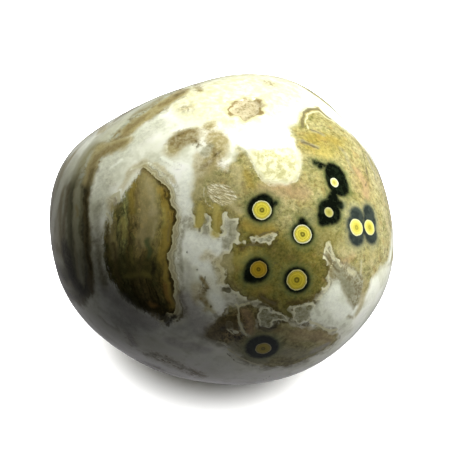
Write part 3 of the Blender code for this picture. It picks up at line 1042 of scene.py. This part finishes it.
def agate_material():
    material = bpy.data.materials.new("polished_agate")
    material.use_nodes = True
    tree = material.node_tree
    g = Graph(tree)
    shader = tree.nodes["Principled BSDF"]

    place = g.node("ShaderNodeTexCoord").outputs["Object"]
    mm = g.vector("SCALE", place, scale=1000.0)

    # Shared noises, coarse to fine.
    drift = g.noise(mm, 0.22, 2.0, 0.5)
    cloud = g.noise(mm, 0.55, 3.0, 0.55)
    fray = g.noise(mm, 1.5, 3.0, 0.6)
    grain = g.noise(mm, 5.0, 2.0, 0.6)
    scallop = g.cells(mm, 1.25)
    lobes = g.cells(mm, 2.6)

    # Edges wander by these much, in mm.
    wander = g.mad(g.add(fray, -0.5), 0.55, g.mul(g.add(grain, -0.5), 0.22))
    ragged = g.mad(g.add(cloud, -0.5), 1.6, g.mul(wander, 1.6))
    bites = g.mad(g.math("SUBTRACT", 0.45, scallop), 0.66, g.mad(g.math("SUBTRACT", 0.45, lobes), 0.18, g.mul(wander, 0.40)))
    mottle = g.noise(mm, 2.7, 4.0, 0.72)
    tone = g.noise(mm, 1.05, 3.0, 0.65, 0.6)

    # ---- white, cloudy chalcedony
    milk = g.ramp(cloud, [(0.30, WHITE_DIM), (0.48, WHITE), (0.70, (1.0, 1.0, 0.92))])
    colour = g.mix(g.ease(drift, 0.42, 0.68, 0.0, 0.35), milk, (0.62, 0.62, 0.45))
    clear = g.attribute("clear")
    clear_amount = g.mul(clear, g.ease(g.add(cloud, g.mul(fray, 0.4)), 0.45, 0.95, 1.0, 0.35))
    colour = g.mix(clear_amount, colour, CLEAR)
    stain = g.attribute("stain")
    stained = g.mul(stain, g.ease(fray, 0.25, 0.75, 1.0, 0.35))
    colour = g.mix(stained, colour, g.mix(g.ease(mottle, 0.40, 0.60), STAIN, (0.74, 0.72, 0.46)))

    # ---- the banded rind at the left end
    rind = g.attribute("rind")
    rind_in = g.add(rind, g.mul(ragged, 0.95))
    bands = g.mad(g.add(drift, -0.5), 1.4, g.mad(g.add(fray, -0.5), 0.9, rind))
    # high on the stone it is greenish grey with smudged brown clouds
    band_colour = g.ramp(
        g.mul(bands, 0.125),
        [
            (0.00, (0.60, 0.61, 0.48)),
            (0.06, (0.50, 0.48, 0.34)),
            (0.16, (0.52, 0.53, 0.41)),
            (0.26, (0.58, 0.60, 0.47)),
            (0.36, (0.46, 0.44, 0.29)),
            (0.46, (0.54, 0.53, 0.39)),
            (0.58, (0.66, 0.67, 0.54)),
            (0.72, (0.54, 0.53, 0.38)),
            (0.86, (0.44, 0.40, 0.25)),
            (1.00, (0.62, 0.62, 0.48)),
        ],
        "EASE",
    )
    brown_cloud = g.mul(g.ease(tone, 0.46, 0.58), g.ease(g.mad(g.add(mottle, -0.5), 1.8, rind), 3.6, 1.3))
    band_colour = g.mix(g.mul(brown_cloud, 0.85), band_colour, g.ramp(mottle, [(0.38, (0.25, 0.21, 0.10)), (0.58, (0.48, 0.42, 0.25))]))
    dark_bands = g.ramp(
        g.mul(bands, 0.125),
        [
            (0.00, (0.40, 0.40, 0.28)),
            (0.045, (0.13, 0.115, 0.06)),
            (0.11, (0.085, 0.078, 0.04)),
            (0.155, (0.24, 0.23, 0.14)),
            (0.21, (0.36, 0.36, 0.25)),
            (0.27, (0.30, 0.28, 0.18)),
            (0.34, (0.145, 0.14, 0.075)),
            (0.42, (0.20, 0.195, 0.11)),
            (0.54, (0.44, 0.44, 0.32)),
            (0.66, (0.30, 0.27, 0.15)),
            (0.78, (0.46, 0.44, 0.31)),
            (1.00, (0.20, 0.18, 0.09)),
        ],
        "EASE",
    )
    band_colour = g.mix(g.attribute("rind_dark"), band_colour, dark_bands)
    colour = g.mix(g.ease(rind_in, -0.45, 0.35), colour, band_colour)

    # ---- the brown streaked patch
    across = g.vector("DOT_PRODUCT", mm, tuple(RIGHT))
    along = g.vector("DOT_PRODUCT", mm, tuple(UP))
    grainline = g.attribute("grainline")
    bent = g.mad(g.add(tone, -0.5), 0.9, g.mad(g.add(mottle, -0.5), 0.22, g.mul(grainline, 7.2)))
    strand = g.node("ShaderNodeCombineXYZ")
    g.plug(strand.inputs[0], bent)
    g.plug(strand.inputs[1], g.mul(along, 0.17))
    strand = strand.outputs[0]
    strands = g.noise(strand, 1.15, 4.0, 0.66)
    threads = g.noise(strand, 4.2, 3.0, 0.62)
    patch = g.attribute("patch")
    patch_in = g.add(patch, g.mad(g.math("SUBTRACT", 0.42, scallop), 0.42, g.mad(g.math("SUBTRACT", 0.45, lobes), 0.10, g.mul(wander, 0.30))))
    # broad stripes from left to right, then strands and threads through them
    stripes = g.ramp(
        g.mad(g.add(strands, -0.5), 0.34, g.mul(bent, 1.0 / 7.2)),
        [
            (0.00, (0.46, 0.42, 0.20)),
            (0.07, (0.17, 0.145, 0.055)),
            (0.15, (0.40, 0.36, 0.15)),
            (0.21, (0.22, 0.20, 0.08)),
            (0.30, (0.40, 0.40, 0.19)),
            (0.39, (0.28, 0.235, 0.09)),
            (0.50, (0.50, 0.42, 0.20)),
            (0.60, (0.43, 0.355, 0.155)),
            (0.69, (0.30, 0.26, 0.105)),
            (0.77, (0.50, 0.45, 0.20)),
            (0.87, (0.44, 0.35, 0.115)),
            (0.95, (0.30, 0.225, 0.07)),
        ],
    )
    thread_light = g.ramp(threads, [(0.32, (0.42, 0.42, 0.38)), (0.46, (0.82, 0.82, 0.80)), (0.56, (1.06, 1.06, 1.02)), (0.70, (1.40, 1.38, 1.25))])
    patch_colour = g.mix(1.0, stripes, thread_light, "MULTIPLY")
    blotch = g.ramp(mottle, [(0.34, (0.66, 0.68, 0.62)), (0.52, (1.0, 1.0, 1.0)), (0.68, (1.22, 1.18, 1.10))])
    patch_colour = g.mix(0.85, patch_colour, blotch, "MULTIPLY")
    patch_dark = g.attribute("patch_dark")
    shade = g.ease(g.mad(g.add(tone, -0.5), 1.3, g.mad(g.add(strands, -0.5), 0.8, patch_dark)), 0.10, 1.0)
    patch_colour = g.mix(g.mul(shade, 0.85), patch_colour, g.mix(1.0, patch_colour, (0.34, 0.33, 0.27), "MULTIPLY"))
    greenish = g.mul(g.ease(tone, 0.53, 0.60), g.ease(threads, 0.45, 0.58, 0.1, 0.55))
    patch_colour = g.mix(greenish, patch_colour, (0.13, 0.15, 0.05))
    # an ochre strand and a thin dark line just inside its sharp edge, a pale band outside it
    sharp = g.attribute("patch_sharp")
    near_edge = g.mul(g.ridge(patch_in, 0.62, 0.10, 0.30), g.ease(threads, 0.40, 0.55, 0.15, 0.60))
    patch_colour = g.mix(g.mul(near_edge, sharp), patch_colour, (0.50, 0.39, 0.11))
    patch_colour = g.mix(
        g.mul(g.ridge(patch_in, 0.08, 0.06, 0.20), g.mul(sharp, g.ease(tone, 0.38, 0.55, 0.95, 0.55))),
        patch_colour,
        (0.085, 0.07, 0.025),
    )
    edge_noise = g.mad(g.add(grain, -0.5), 0.10, patch_in)
    edge_colour = g.ramp(
        g.mad(edge_noise, 1.0, 1.0),
        [
            (0.36, (0.70, 0.70, 0.55)),
            (0.46, (0.46, 0.43, 0.29)),
            (0.56, (0.68, 0.66, 0.47)),
            (0.68, (0.52, 0.48, 0.31)),
            (0.80, (0.58, 0.55, 0.36)),
            (0.90, (0.72, 0.70, 0.48)),
            (0.965, (0.50, 0.45, 0.24)),
            (1.00, (0.16, 0.13, 0.05)),
        ],
    )
    outer = g.mad(g.add(tone, -0.5), 0.5, g.mad(g.add(fray, -0.5), 0.30, g.attribute("patch_edge")))
    fuzz = g.mul(g.ridge(outer, -0.18, 0.05, 0.50), g.ease(mottle, 0.36, 0.60, 0.75, 0.15))
    colour = g.mix(g.mul(fuzz, sharp), colour, (0.50, 0.48, 0.34))
    colour = g.mix(g.mul(g.ease(outer, -0.10, 0.14), sharp), colour, edge_colour)
    soft_edge = g.ease(g.mad(g.add(threads, -0.5), 1.5, g.mad(wander, 1.2, patch)), -0.20, 0.45)
    hard_edge = g.ease(patch_in, -0.03, 0.04)
    patch_mask = g.math(
        "ADD",
        g.mul(hard_edge, sharp),
        g.mul(soft_edge, g.math("SUBTRACT", 1.0, sharp)),
        clamp=True,
    )
    colour = g.mix(patch_mask, colour, patch_colour)

    # ---- brown clouded spots in the white
    smudge = g.mad(ragged, 1.1, g.attribute("smudge"))
    smudge_mask = g.mul(g.ease(smudge, -0.65, 0.75), g.ease(g.mad(mottle, 0.6, g.mul(tone, 0.4)), 0.38, 0.60, 1.0, 0.15))
    smudge_colour = g.ramp(mottle, [(0.34, (0.26, 0.21, 0.10)), (0.48, (0.42, 0.36, 0.21)), (0.62, (0.58, 0.53, 0.37))])
    colour = g.mix(smudge_mask, colour, smudge_colour)

    # ---- the tan and olive field
    field = g.attribute("field")
    crisp = g.attribute("crisp")
    scalloped = g.add(field, g.mul(bites, crisp))
    field_in = g.mad(g.mul(ragged, 0.7), g.math("SUBTRACT", 1.0, crisp), scalloped)
    tan = g.ramp(
        g.mad(grain, 0.35, g.mul(cloud, 0.65)),
        [(0.34, (0.42, 0.37, 0.17)), (0.46, TAN), (0.58, TAN_PALE), (0.70, (0.50, 0.44, 0.20))],
    )
    olive = g.ramp(
        g.mad(grain, 0.45, g.mul(fray, 0.55)),
        [(0.34, OLIVE_DEEP), (0.48, OLIVE), (0.60, (0.40, 0.36, 0.14)), (0.72, (0.45, 0.40, 0.16))],
    )
    olive_amount = g.ease(g.mad(g.add(cloud, -0.5), 0.8, g.attribute("olive")), 0.1, 0.9)
    ground = g.mix(olive_amount, tan, olive)
    ochre_amount = g.mul(g.attribute("ochre"), g.ease(cloud, 0.35, 0.65, 0.4, 0.9))
    ground = g.mix(ochre_amount, ground, OCHRE)
    ground = g.mix(g.mul(g.attribute("pink"), 0.55), ground, (0.56, 0.42, 0.25))
    veins = g.noise(mm, 0.9, 4.0, 0.7, 1.2)
    ground = g.mix(g.mul(g.ridge(veins, 0.5, 0.004, 0.02), 0.35), ground, (0.26, 0.22, 0.09))
    ground = g.mix(g.mul(g.ease(grain, 0.60, 0.72), 0.25), ground, (0.20, 0.17, 0.06))
    ground = g.mix(g.mul(g.ease(tone, 0.52, 0.64), 0.45), ground, (0.30, 0.31, 0.12))
    ground = g.mix(g.mul(g.ease(tone, 0.44, 0.34), 0.35), ground, (0.50, 0.36, 0.16))
    shading = g.ramp(mottle, [(0.32, (0.50, 0.52, 0.42)), (0.46, (0.82, 0.82, 0.76)), (0.56, (0.96, 0.96, 0.90)), (0.70, (1.20, 1.18, 1.14))])
    ground = g.mix(0.9, ground, shading, "MULTIPLY")
    # just inside the crisp edge the olive is darkest
    inner = g.mul(g.ease(scalloped, 0.05, 0.55, 1.0, 0.0), g.mul(crisp, g.ease(cloud, 0.40, 0.60, 0.10, 0.85)))
    ground = g.mix(inner, ground, (0.15, 0.125, 0.04))
    soft_field = g.ease(field_in, -0.5, 0.5)
    hard_field = g.ease(field_in, -0.04, 0.04)
    field_mask = g.math(
        "ADD",
        g.mul(hard_field, crisp),
        g.mul(soft_field, g.math("SUBTRACT", 1.0, crisp)),
        clamp=True,
    )
    # outside the crisp edge: a greyish brown shadow, then the pale healed line on the edge
    outside = g.mul(g.ease(scalloped, -1.5, -0.1), g.mul(crisp, g.ease(g.mad(mottle, 0.5, g.mul(cloud, 0.5)), 0.42, 0.60, 0.95, 0.30)))
    colour = g.mix(outside, colour, g.mix(g.ease(mottle, 0.42, 0.58), (0.33, 0.30, 0.17), (0.52, 0.50, 0.36)))
    second = g.mul(g.ridge(scalloped, -0.52, 0.04, 0.10), g.mul(crisp, g.ease(tone, 0.44, 0.56)))
    colour = g.mix(g.mul(second, 0.75), colour, (0.66, 0.65, 0.48))
    colour = g.mix(field_mask, colour, ground)
    rim_line = g.mul(g.ridge(scalloped, -0.10, 0.11, 0.13), g.mul(crisp, g.ease(fray, 0.30, 0.50, 0.75, 1.0)))
    colour = g.mix(rim_line, colour, (0.80, 0.79, 0.60))

    # ---- speckled yellow-white ground
    speckled = g.mad(bites, 0.5, g.mad(ragged, 0.5, g.attribute("speckled")))
    speck_ground = g.mix(g.ease(fray, 0.38, 0.62), (0.62, 0.60, 0.34), (0.84, 0.83, 0.60))
    specks = g.math("SUBTRACT", g.cells(mm, 3.6), g.mul(cloud, 0.28))
    speck_ground = g.mix(g.ease(specks, 0.00, -0.05, 0.0, 0.80), speck_ground, (0.24, 0.22, 0.10))
    colour = g.mix(g.ease(speckled, -0.45, 0.40), colour, speck_ground)
    colour = g.mix(g.mul(g.ridge(speckled, -0.25, 0.03, 0.09), g.ease(tone, 0.45, 0.55, 0.0, 0.7)), colour, (0.76, 0.75, 0.56))

    # ---- the lobe at the foot of the front
    lobe = g.attribute("lobe")
    lobe_in = g.add(lobe, g.mul(bites, 0.8))
    lobe_ground = g.ramp(
        g.mad(mottle, 0.45, g.mul(tone, 0.55)),
        [(0.34, (0.17, 0.15, 0.055)), (0.44, (0.30, 0.27, 0.12)), (0.53, (0.43, 0.40, 0.20)), (0.62, (0.50, 0.475, 0.27)), (0.72, (0.36, 0.345, 0.18))],
    )
    onion = g.math("SINE", g.mul(g.mad(g.add(fray, -0.5), 0.5, lobe), 9.0))
    lobe_ground = g.mix(g.mul(g.ease(onion, 0.2, 1.0), 0.35), lobe_ground, (0.20, 0.185, 0.10))
    brown_part = g.ramp(mottle, [(0.36, (0.055, 0.045, 0.02)), (0.48, (0.19, 0.155, 0.065)), (0.60, (0.38, 0.31, 0.15))])
    lobe_ground = g.mix(g.attribute("lobe_brown"), lobe_ground, brown_part)
    lobe_shadow = g.mul(g.ease(lobe_in, -1.1, -0.1), g.ease(tone, 0.40, 0.60, 0.85, 0.25))
    colour = g.mix(lobe_shadow, colour, (0.36, 0.34, 0.24))
    colour = g.mix(g.ease(lobe_in, -0.20, 0.25), colour, lobe_ground)
    colour = g.mix(g.mul(g.ridge(lobe_in, -0.05, 0.05, 0.10), g.ease(tone, 0.42, 0.56, 0.10, 0.9)), colour, (0.60, 0.58, 0.42))

    # ---- the grey-tan fuzzy band, the shreds and the white windows
    fuzzy = g.mad(ragged, 0.5, g.attribute("fuzzy"))
    fuzzy_ground = g.mix(g.ease(g.mad(grain, 0.5, g.mul(fray, 0.5)), 0.40, 0.60), (0.34, 0.31, 0.19), (0.54, 0.53, 0.39))
    colour = g.mix(g.ease(fuzzy, -0.2, 0.3), colour, fuzzy_ground)
    shred = g.mad(bites, 0.9, g.attribute("shred"))
    shred_ground = g.ramp(mottle, [(0.36, (0.28, 0.26, 0.15)), (0.48, (0.40, 0.39, 0.26)), (0.62, (0.54, 0.54, 0.41))])
    colour = g.mix(g.mul(g.ridge(shred, -0.28, 0.04, 0.26), g.ease(tone, 0.42, 0.56, 0.85, 0.30)), colour, (0.15, 0.13, 0.055))
    colour = g.mix(g.ease(shred, -0.10, 0.10), colour, shred_ground)
    colour = g.mix(g.mul(g.ridge(shred, 0.0, 0.05, 0.09), g.ease(fray, 0.36, 0.52, 0.35, 0.9)), colour, (0.72, 0.71, 0.54))
    window = g.mad(ragged, 0.45, g.attribute("window"))
    colour = g.mix(g.ease(window, -0.15, 0.25), colour, g.mix(g.ease(fray, 0.35, 0.6), (0.68, 0.69, 0.56), (0.84, 0.86, 0.72)))

    # ---- the pit and the druzy ground
    pit = g.mad(bites, 0.9, g.attribute("pit"))
    colour = g.mix(g.ridge(pit, -0.22, 0.08, 0.14), colour, (0.68, 0.66, 0.44))
    pit_ground = g.ramp(g.mad(grain, 0.5, g.mul(fray, 0.5)), [(0.36, (0.34, 0.28, 0.14)), (0.48, (0.55, 0.50, 0.33)), (0.66, (0.66, 0.61, 0.45))])
    colour = g.mix(g.ease(pit, -0.06, 0.10), colour, pit_ground)
    colour = g.mix(g.mul(g.ridge(pit, 0.06, 0.05, 0.22), g.ease(cloud, 0.40, 0.55, 0.35, 0.9)), colour, (0.34, 0.27, 0.12))
    druzy = g.mad(wander, 0.8, g.attribute("druzy"))
    scratch_frame = g.node("ShaderNodeCombineXYZ")
    g.plug(scratch_frame.inputs[0], g.mul(g.mad(across, 0.42, g.mul(along, 0.9)), 6.5))
    g.plug(scratch_frame.inputs[1], g.mul(g.mad(across, 0.9, g.mul(along, -0.42)), 1.3))
    scratches = g.noise(scratch_frame.outputs[0], 1.0, 3.0, 0.7)
    druzy_ground = g.ramp(scratches, [(0.36, (0.42, 0.36, 0.18)), (0.50, (0.58, 0.53, 0.32)), (0.60, (0.86, 0.84, 0.66))])
    druzy_mask = g.ease(druzy, -0.1, 0.35)
    colour = g.mix(druzy_mask, colour, druzy_ground)

    # ---- soft strokes, broken up
    lift = g.mad(g.add(g.mad(grain, 0.25, g.mul(mottle, 0.75)), -0.5), 0.7, 1.0)
    stroke_colour = g.vector("SCALE", g.attribute_colour("brush_colour"), scale=lift)
    stroke_amount = g.mul(g.attribute("brush_amount"), g.ease(g.mad(mottle, 0.5, g.mul(tone, 0.5)), 0.36, 0.62, 1.0, 0.72))
    colour = g.mix(stroke_amount, colour, stroke_colour)

    # ---- healed lines
    colour = g.mix(g.mul(g.ease(g.mad(wander, 0.30, g.attribute("dark")), -0.05, 0.05), 0.75), colour, (0.24, 0.21, 0.12))
    colour = g.mix(g.mul(g.ease(g.mad(wander, 0.25, g.attribute("pale")), -0.04, 0.04), 0.85), colour, (0.68, 0.66, 0.46))
    colour = g.mix(g.mul(g.ease(g.mad(wander, 0.5, g.attribute("spots")), -0.06, 0.08), 0.8), colour, (0.16, 0.15, 0.08))

    # ---- orbs and their halos
    halo = g.attribute("halo")
    tufts = g.mad(g.add(grain, -0.5), 0.16, g.mul(g.add(mottle, -0.5), 0.42))
    halo_in = g.add(halo, tufts)
    cold = g.attribute("halo_cold")
    glow = g.mul(g.ease(halo_in, -0.95, 0.0), g.ease(mottle, 0.36, 0.58, 0.85, 0.45))
    colour = g.mix(glow, colour, g.mix(cold, (0.21, 0.25, 0.11), (0.30, 0.32, 0.22)))
    dark = g.mix(cold, BLACK_GREEN, NAVY)
    dark = g.mix(g.mul(g.ease(fray, 0.45, 0.62), 0.55), dark, g.mix(cold, (0.040, 0.058, 0.030), (0.12, 0.145, 0.12)))
    colour = g.mix(g.ease(halo_in, -0.30, 0.16), colour, dark)

    ring = None
    for way, radius, _, _ in ORBS:
        centre = orb_centre(way)
        reach = g.vector("DISTANCE", mm, tuple(centre))
        near = g.mul(reach, 1.0 / radius)
        ring = near if ring is None else g.low(ring, near)
    dots = g.noise(mm, 14.0, 1.0, 0.5)
    ring_wavy = g.mad(g.add(g.noise(mm, 2.2, 1.0, 0.5), -0.5), 0.16, g.mad(g.add(dots, -0.5), 0.05, ring))
    strength = g.attribute("ring_strength")
    ringed = g.ramp(
        ring_wavy,
        [
            (0.00, (0.50, 0.46, 0.09)),
            (0.08, (0.58, 0.53, 0.12)),
            (0.14, (0.25, 0.235, 0.04)),
            (0.22, (0.25, 0.23, 0.035)),
            (0.29, (0.66, 0.60, 0.10)),
            (0.40, (0.76, 0.70, 0.13)),
            (0.47, (0.60, 0.52, 0.07)),
            (0.54, (0.76, 0.70, 0.13)),
            (0.66, (0.80, 0.74, 0.16)),
            (0.71, (0.60, 0.53, 0.08)),
            (0.78, (0.74, 0.68, 0.15)),
            (0.84, (0.42, 0.385, 0.12)),
            (0.885, (0.78, 0.77, 0.48)),
            (0.96, (0.80, 0.80, 0.54)),
            (1.00, (0.36, 0.38, 0.22)),
        ],
    )
    plain = g.ramp(
        ring_wavy,
        [(0.0, (0.50, 0.46, 0.12)), (0.30, (0.62, 0.57, 0.15)), (0.62, (0.74, 0.70, 0.24)), (0.88, (0.80, 0.78, 0.44)), (1.0, (0.40, 0.40, 0.25))],
    )
    orb_colour = g.mix(strength, plain, ringed)
    orb_colour = g.mix(1.0, orb_colour, g.attribute_colour("orb_tint"), "MULTIPLY")
    orb_colour = g.mix(g.mul(g.ease(dots, 0.40, 0.62), 0.22), orb_colour, (0.40, 0.32, 0.05))
    orb_mask = g.ease(ring_wavy, 1.02, 0.96)
    colour = g.mix(orb_mask, colour, orb_colour)

    g.plug(shader.inputs["Base Color"], colour)

    # ---- polish: glassy, duller on the pit and the druzy ground
    rough = g.mad(fray, 0.10, 0.08)
    rough = g.high(rough, g.mul(g.ease(pit, -0.05, 0.25), 0.42))
    rough = g.high(rough, g.mul(druzy_mask, g.mad(scratches, 0.5, 0.10)))
    g.plug(shader.inputs["Roughness"], rough)
    shader.inputs["IOR"].default_value = 1.54

    # ---- relief too fine for the mesh
    druzy_relief = g.mul(druzy_mask, scratches)
    pit_relief = g.mul(g.ease(pit, -0.05, 0.25), g.mul(grain, 0.8))
    skin_relief = g.mul(g.noise(mm, 0.9, 2.0, 0.5), 0.10)
    height = g.add(g.add(g.mul(druzy_relief, 0.9), pit_relief), skin_relief)
    bump = g.node("ShaderNodeBump", {"Height": height, "Distance": 0.00012, "Strength": 0.6})
    g.plug(shader.inputs["Normal"], bump.outputs["Normal"])
    return material


# ------------------------------------------------------------------------------ the stone
def orb_centre(way):
    """The point on the finished skin, in mm, under the unit vector way."""
    point = CENTRE + way * (float(skin(way[None, :])[0]) - HAIR)
    point[2] = max(0.0, point[2])
    return point


HAIR = 0.015  # mm, how far inside the CAD skin the finished surface keeps


def make_stone():
    marks = pattern()
    sharp = zone(
        sheet([(141, 160), (200, 160), (200, 335), (158, 335), (160, 310), (162, 250), (158, 200), (141, 172)]),
        globe([(138, 24), (170, 24), (170, -40), (140, -40), (142, -10)]),
    )
    marks["patch_sharp"] = blend_steps(sharp, 0.5)

    strokes_colour, strokes_amount = painted(marks)
    marks["brush_amount"] = strokes_amount

    # Relief: the pit is sunk, the druzy ground a little, and healed lines are hair grooves.
    bumps = np.sin(WAYS @ np.array((9.0, 31.0, 17.0))) * np.sin(WAYS @ np.array((27.0, -11.0, 23.0)))
    sink = (
        HAIR
        + 0.22 * blend_steps(marks["pit"] - 0.25, 0.35)
        + 0.05 * blend_steps(marks["druzy"] - 0.2, 0.3)
        + 0.02 * blend_steps(marks["dark"], 0.15)
        + 0.03 * blend_steps(marks["spots"], 0.15)
        + 0.008 * (1 + bumps)
    )
    points = RAW + SHIFT - WAYS * sink[:, None]
    points[:, 2] = np.maximum(0.0, points[:, 2])
    low, high = (np.array(v) / MM for v in CAD_BOX)
    points = np.clip(points, low, high)

    mesh = bpy.data.meshes.new("agate_stone_surface")
    mesh.from_pydata((points * MM).tolist(), [], FACES.tolist())
    mesh.shade_smooth()

    nearest = np.argmin(
        np.stack([np.arccos(np.clip(WAYS @ way, -1, 1)) for way, _, _, _ in ORBS]), axis=0
    )
    marks["ring_strength"] = np.array([orb[3] for orb in ORBS])[nearest]
    for name, values in marks.items():
        attribute = mesh.attributes.new(name, "FLOAT", "POINT")
        attribute.data.foreach_set("value", values.astype(np.float32))
    brushed = mesh.attributes.new("brush_colour", "FLOAT_COLOR", "POINT")
    four = np.concatenate([strokes_colour, np.ones((len(WAYS), 1))], axis=1)
    brushed.data.foreach_set("color", four.astype(np.float32).ravel())
    tint = mesh.attributes.new("orb_tint", "FLOAT_COLOR", "POINT")
    tints = np.array([(*orb[2], 1.0) for orb in ORBS])[nearest]
    tint.data.foreach_set("color", tints.astype(np.float32).ravel())

    stone = bpy.data.objects.new("agate_stone_surface", mesh)
    bpy.context.scene.collection.objects.link(stone)
    mesh.materials.append(agate_material())
    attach(stone, "root")
    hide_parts("agate_stone")
    return stone


# ---------------------------------------------------------- camera, floor and light
def make_camera():
    data = bpy.data.cameras.new("front_camera")
    data.sensor_width = 36.0
    data.lens = 36.0 * DISTANCE / SHEET
    data.clip_start = 0.005
    data.clip_end = 20.0
    camera = bpy.data.objects.new("front_camera", data)
    turn = Matrix((RIGHT, UP, TOWARDS)).transposed().to_4x4()
    camera.matrix_world = Matrix.Translation(Vector((AIM + TOWARDS * DISTANCE) * MM)) @ turn
    bpy.context.scene.collection.objects.link(camera)
    bpy.context.scene.camera = camera


# ------------------------------------------------------------------------- floor and light
def make_stage():
    """A round pale floor that curves up into a wall far away, all round."""
    profile = [(0.0, 0.0)]
    flat, bend, top = 0.9, 0.6, 1.6
    for k in range(1, 13):
        profile.append((flat * k / 12, 0.0))
    for k in range(1, 17):
        a = math.pi / 2 * k / 16
        profile.append((flat + bend * math.sin(a), bend * (1 - math.cos(a))))
    profile.append((flat + bend, top))
    turns = 96
    verts, faces = [(0.0, 0.0, 0.0)], []
    for r, z in profile[1:]:
        for t in range(turns):
            a = 2 * math.pi * t / turns
            verts.append((r * math.cos(a), r * math.sin(a), z))
    for t in range(turns):
        faces.append((0, 1 + t, 1 + (t + 1) % turns))
    for ring in range(len(profile) - 2):
        a, b = 1 + ring * turns, 1 + (ring + 1) * turns
        for t in range(turns):
            u = (t + 1) % turns
            faces.append((a + t, b + t, b + u, a + u))
    mesh = bpy.data.meshes.new("floor")
    mesh.from_pydata(verts, [], faces)
    mesh.shade_smooth()
    floor = bpy.data.objects.new("floor", mesh)
    bpy.context.scene.collection.objects.link(floor)
    material = bpy.data.materials.new("pale_floor")
    material.use_nodes = True
    shader = material.node_tree.nodes["Principled BSDF"]
    shader.inputs["Base Color"].default_value = (0.9, 0.9, 0.9, 1.0)
    shader.inputs["Roughness"].default_value = 0.9
    shader.inputs["Specular IOR Level"].default_value = 0.1
    mesh.materials.append(material)
    # The floor's own light on the stone is made by the world below, so that it stays even.
    floor.visible_diffuse = False
    floor.visible_glossy = False


def make_light(name, towards, distance, size, watts, colour=(1.0, 1.0, 1.0)):
    """A soft round lamp that looks at the stone from the direction towards."""
    data = bpy.data.lights.new(name, "AREA")
    data.shape = "DISK"
    data.size = size
    data.energy = watts
    data.color = colour
    lamp = bpy.data.objects.new(name, data)
    way = Vector(towards).normalized()
    lamp.location = Vector(CENTRE * MM) + way * distance
    lamp.rotation_euler = way.to_track_quat("Z", "Y").to_euler()
    bpy.context.scene.collection.objects.link(lamp)
    return lamp


def light_only(lamp, obj):
    """Keeps a lamp's light to one object; everything still casts its shadow in it."""
    lit = bpy.data.collections.new(lamp.name + "_lights")
    lit.objects.link(obj)
    lamp.light_linking.receiver_collection = lit


def make_world():
    world = bpy.data.worlds.new("studio")
    bpy.context.scene.world = world
    world.use_nodes = True
    tree = world.node_tree
    background = tree.nodes["Background"]
    coords = tree.nodes.new("ShaderNodeTexCoord")
    split = tree.nodes.new("ShaderNodeSeparateXYZ")
    ramp = tree.nodes.new("ShaderNodeValToRGB")
    shift = tree.nodes.new("ShaderNodeMath")
    shift.operation = "MULTIPLY_ADD"
    shift.inputs[1].default_value = 0.5
    shift.inputs[2].default_value = 0.5
    tree.links.new(coords.outputs["Generated"], split.inputs[0])
    tree.links.new(split.outputs["Z"], shift.inputs[0])
    tree.links.new(shift.outputs[0], ramp.inputs["Fac"])
    lean = tree.nodes.new("ShaderNodeMath")
    lean.operation = "MULTIPLY_ADD"
    lean.inputs[1].default_value = WORLD_LEAN
    lean.inputs[2].default_value = 1.0 - WORLD_LEAN / 3
    tree.links.new(split.outputs["X"], lean.inputs[0])
    tree.links.new(lean.outputs[0], background.inputs["Strength"])
    tree.links.new(ramp.outputs["Color"], background.inputs["Color"])
    ramp.color_ramp.interpolation = "EASE"
    stops = ramp.color_ramp.elements
    stops[0].position, stops[0].color = 0.0, (*WORLD_LOW, 1.0)
    stops[1].position, stops[1].color = 1.0, (*WORLD_HIGH, 1.0)
    for position, colour in WORLD_BETWEEN:
        stop = stops.new(position)
        stop.color = (*colour, 1.0)


# Light from below stands for what the pale floor sends back up.
WORLD_LOW = (0.50, 0.49, 0.51)
WORLD_BETWEEN = ((0.3, (0.50, 0.49, 0.51)), (0.5, (0.0, 0.0, 0.0)))
WORLD_HIGH = (0.0, 0.0, 0.0)
WORLD_LEAN = 0.45  # how much more of it comes from the right end than from the left


make_camera()
make_stage()
make_world()
stone = make_stone()
floor = bpy.data.objects["floor"]
lamps = {
    "window": make_light("window", (0.38, 0.53, 0.76), 0.6, 0.45, 5.0),
    "overhead": make_light("overhead", (0.1, -0.15, 1.0), 0.6, 0.5, 0.6),
    "right_fill": make_light("right_fill", (1.0, 0.0, 0.45), 0.6, 0.5, 3.0),
    "left_back": make_light("left_back", (-0.75, 0.66, 0.12), 0.6, 0.3, 2.2),
    "glint": make_light("glint", (0.33, 0.58, 0.74), 0.6, 0.17, 1.0),
}
for name, lamp in lamps.items():
    light_only(lamp, stone)
    lamp.visible_glossy = name == "glint"
lamps["glint"].visible_diffuse = False
light_only(make_light("floor_wash", (0.14, 0.22, 1.0), 1.0, 2.5, 118.0), floor)

settings = bpy.context.scene.view_settings
settings.view_transform = "Standard"
settings.look = "None"
settings.exposure = 0.0
settings.gamma = 1 / 1.4
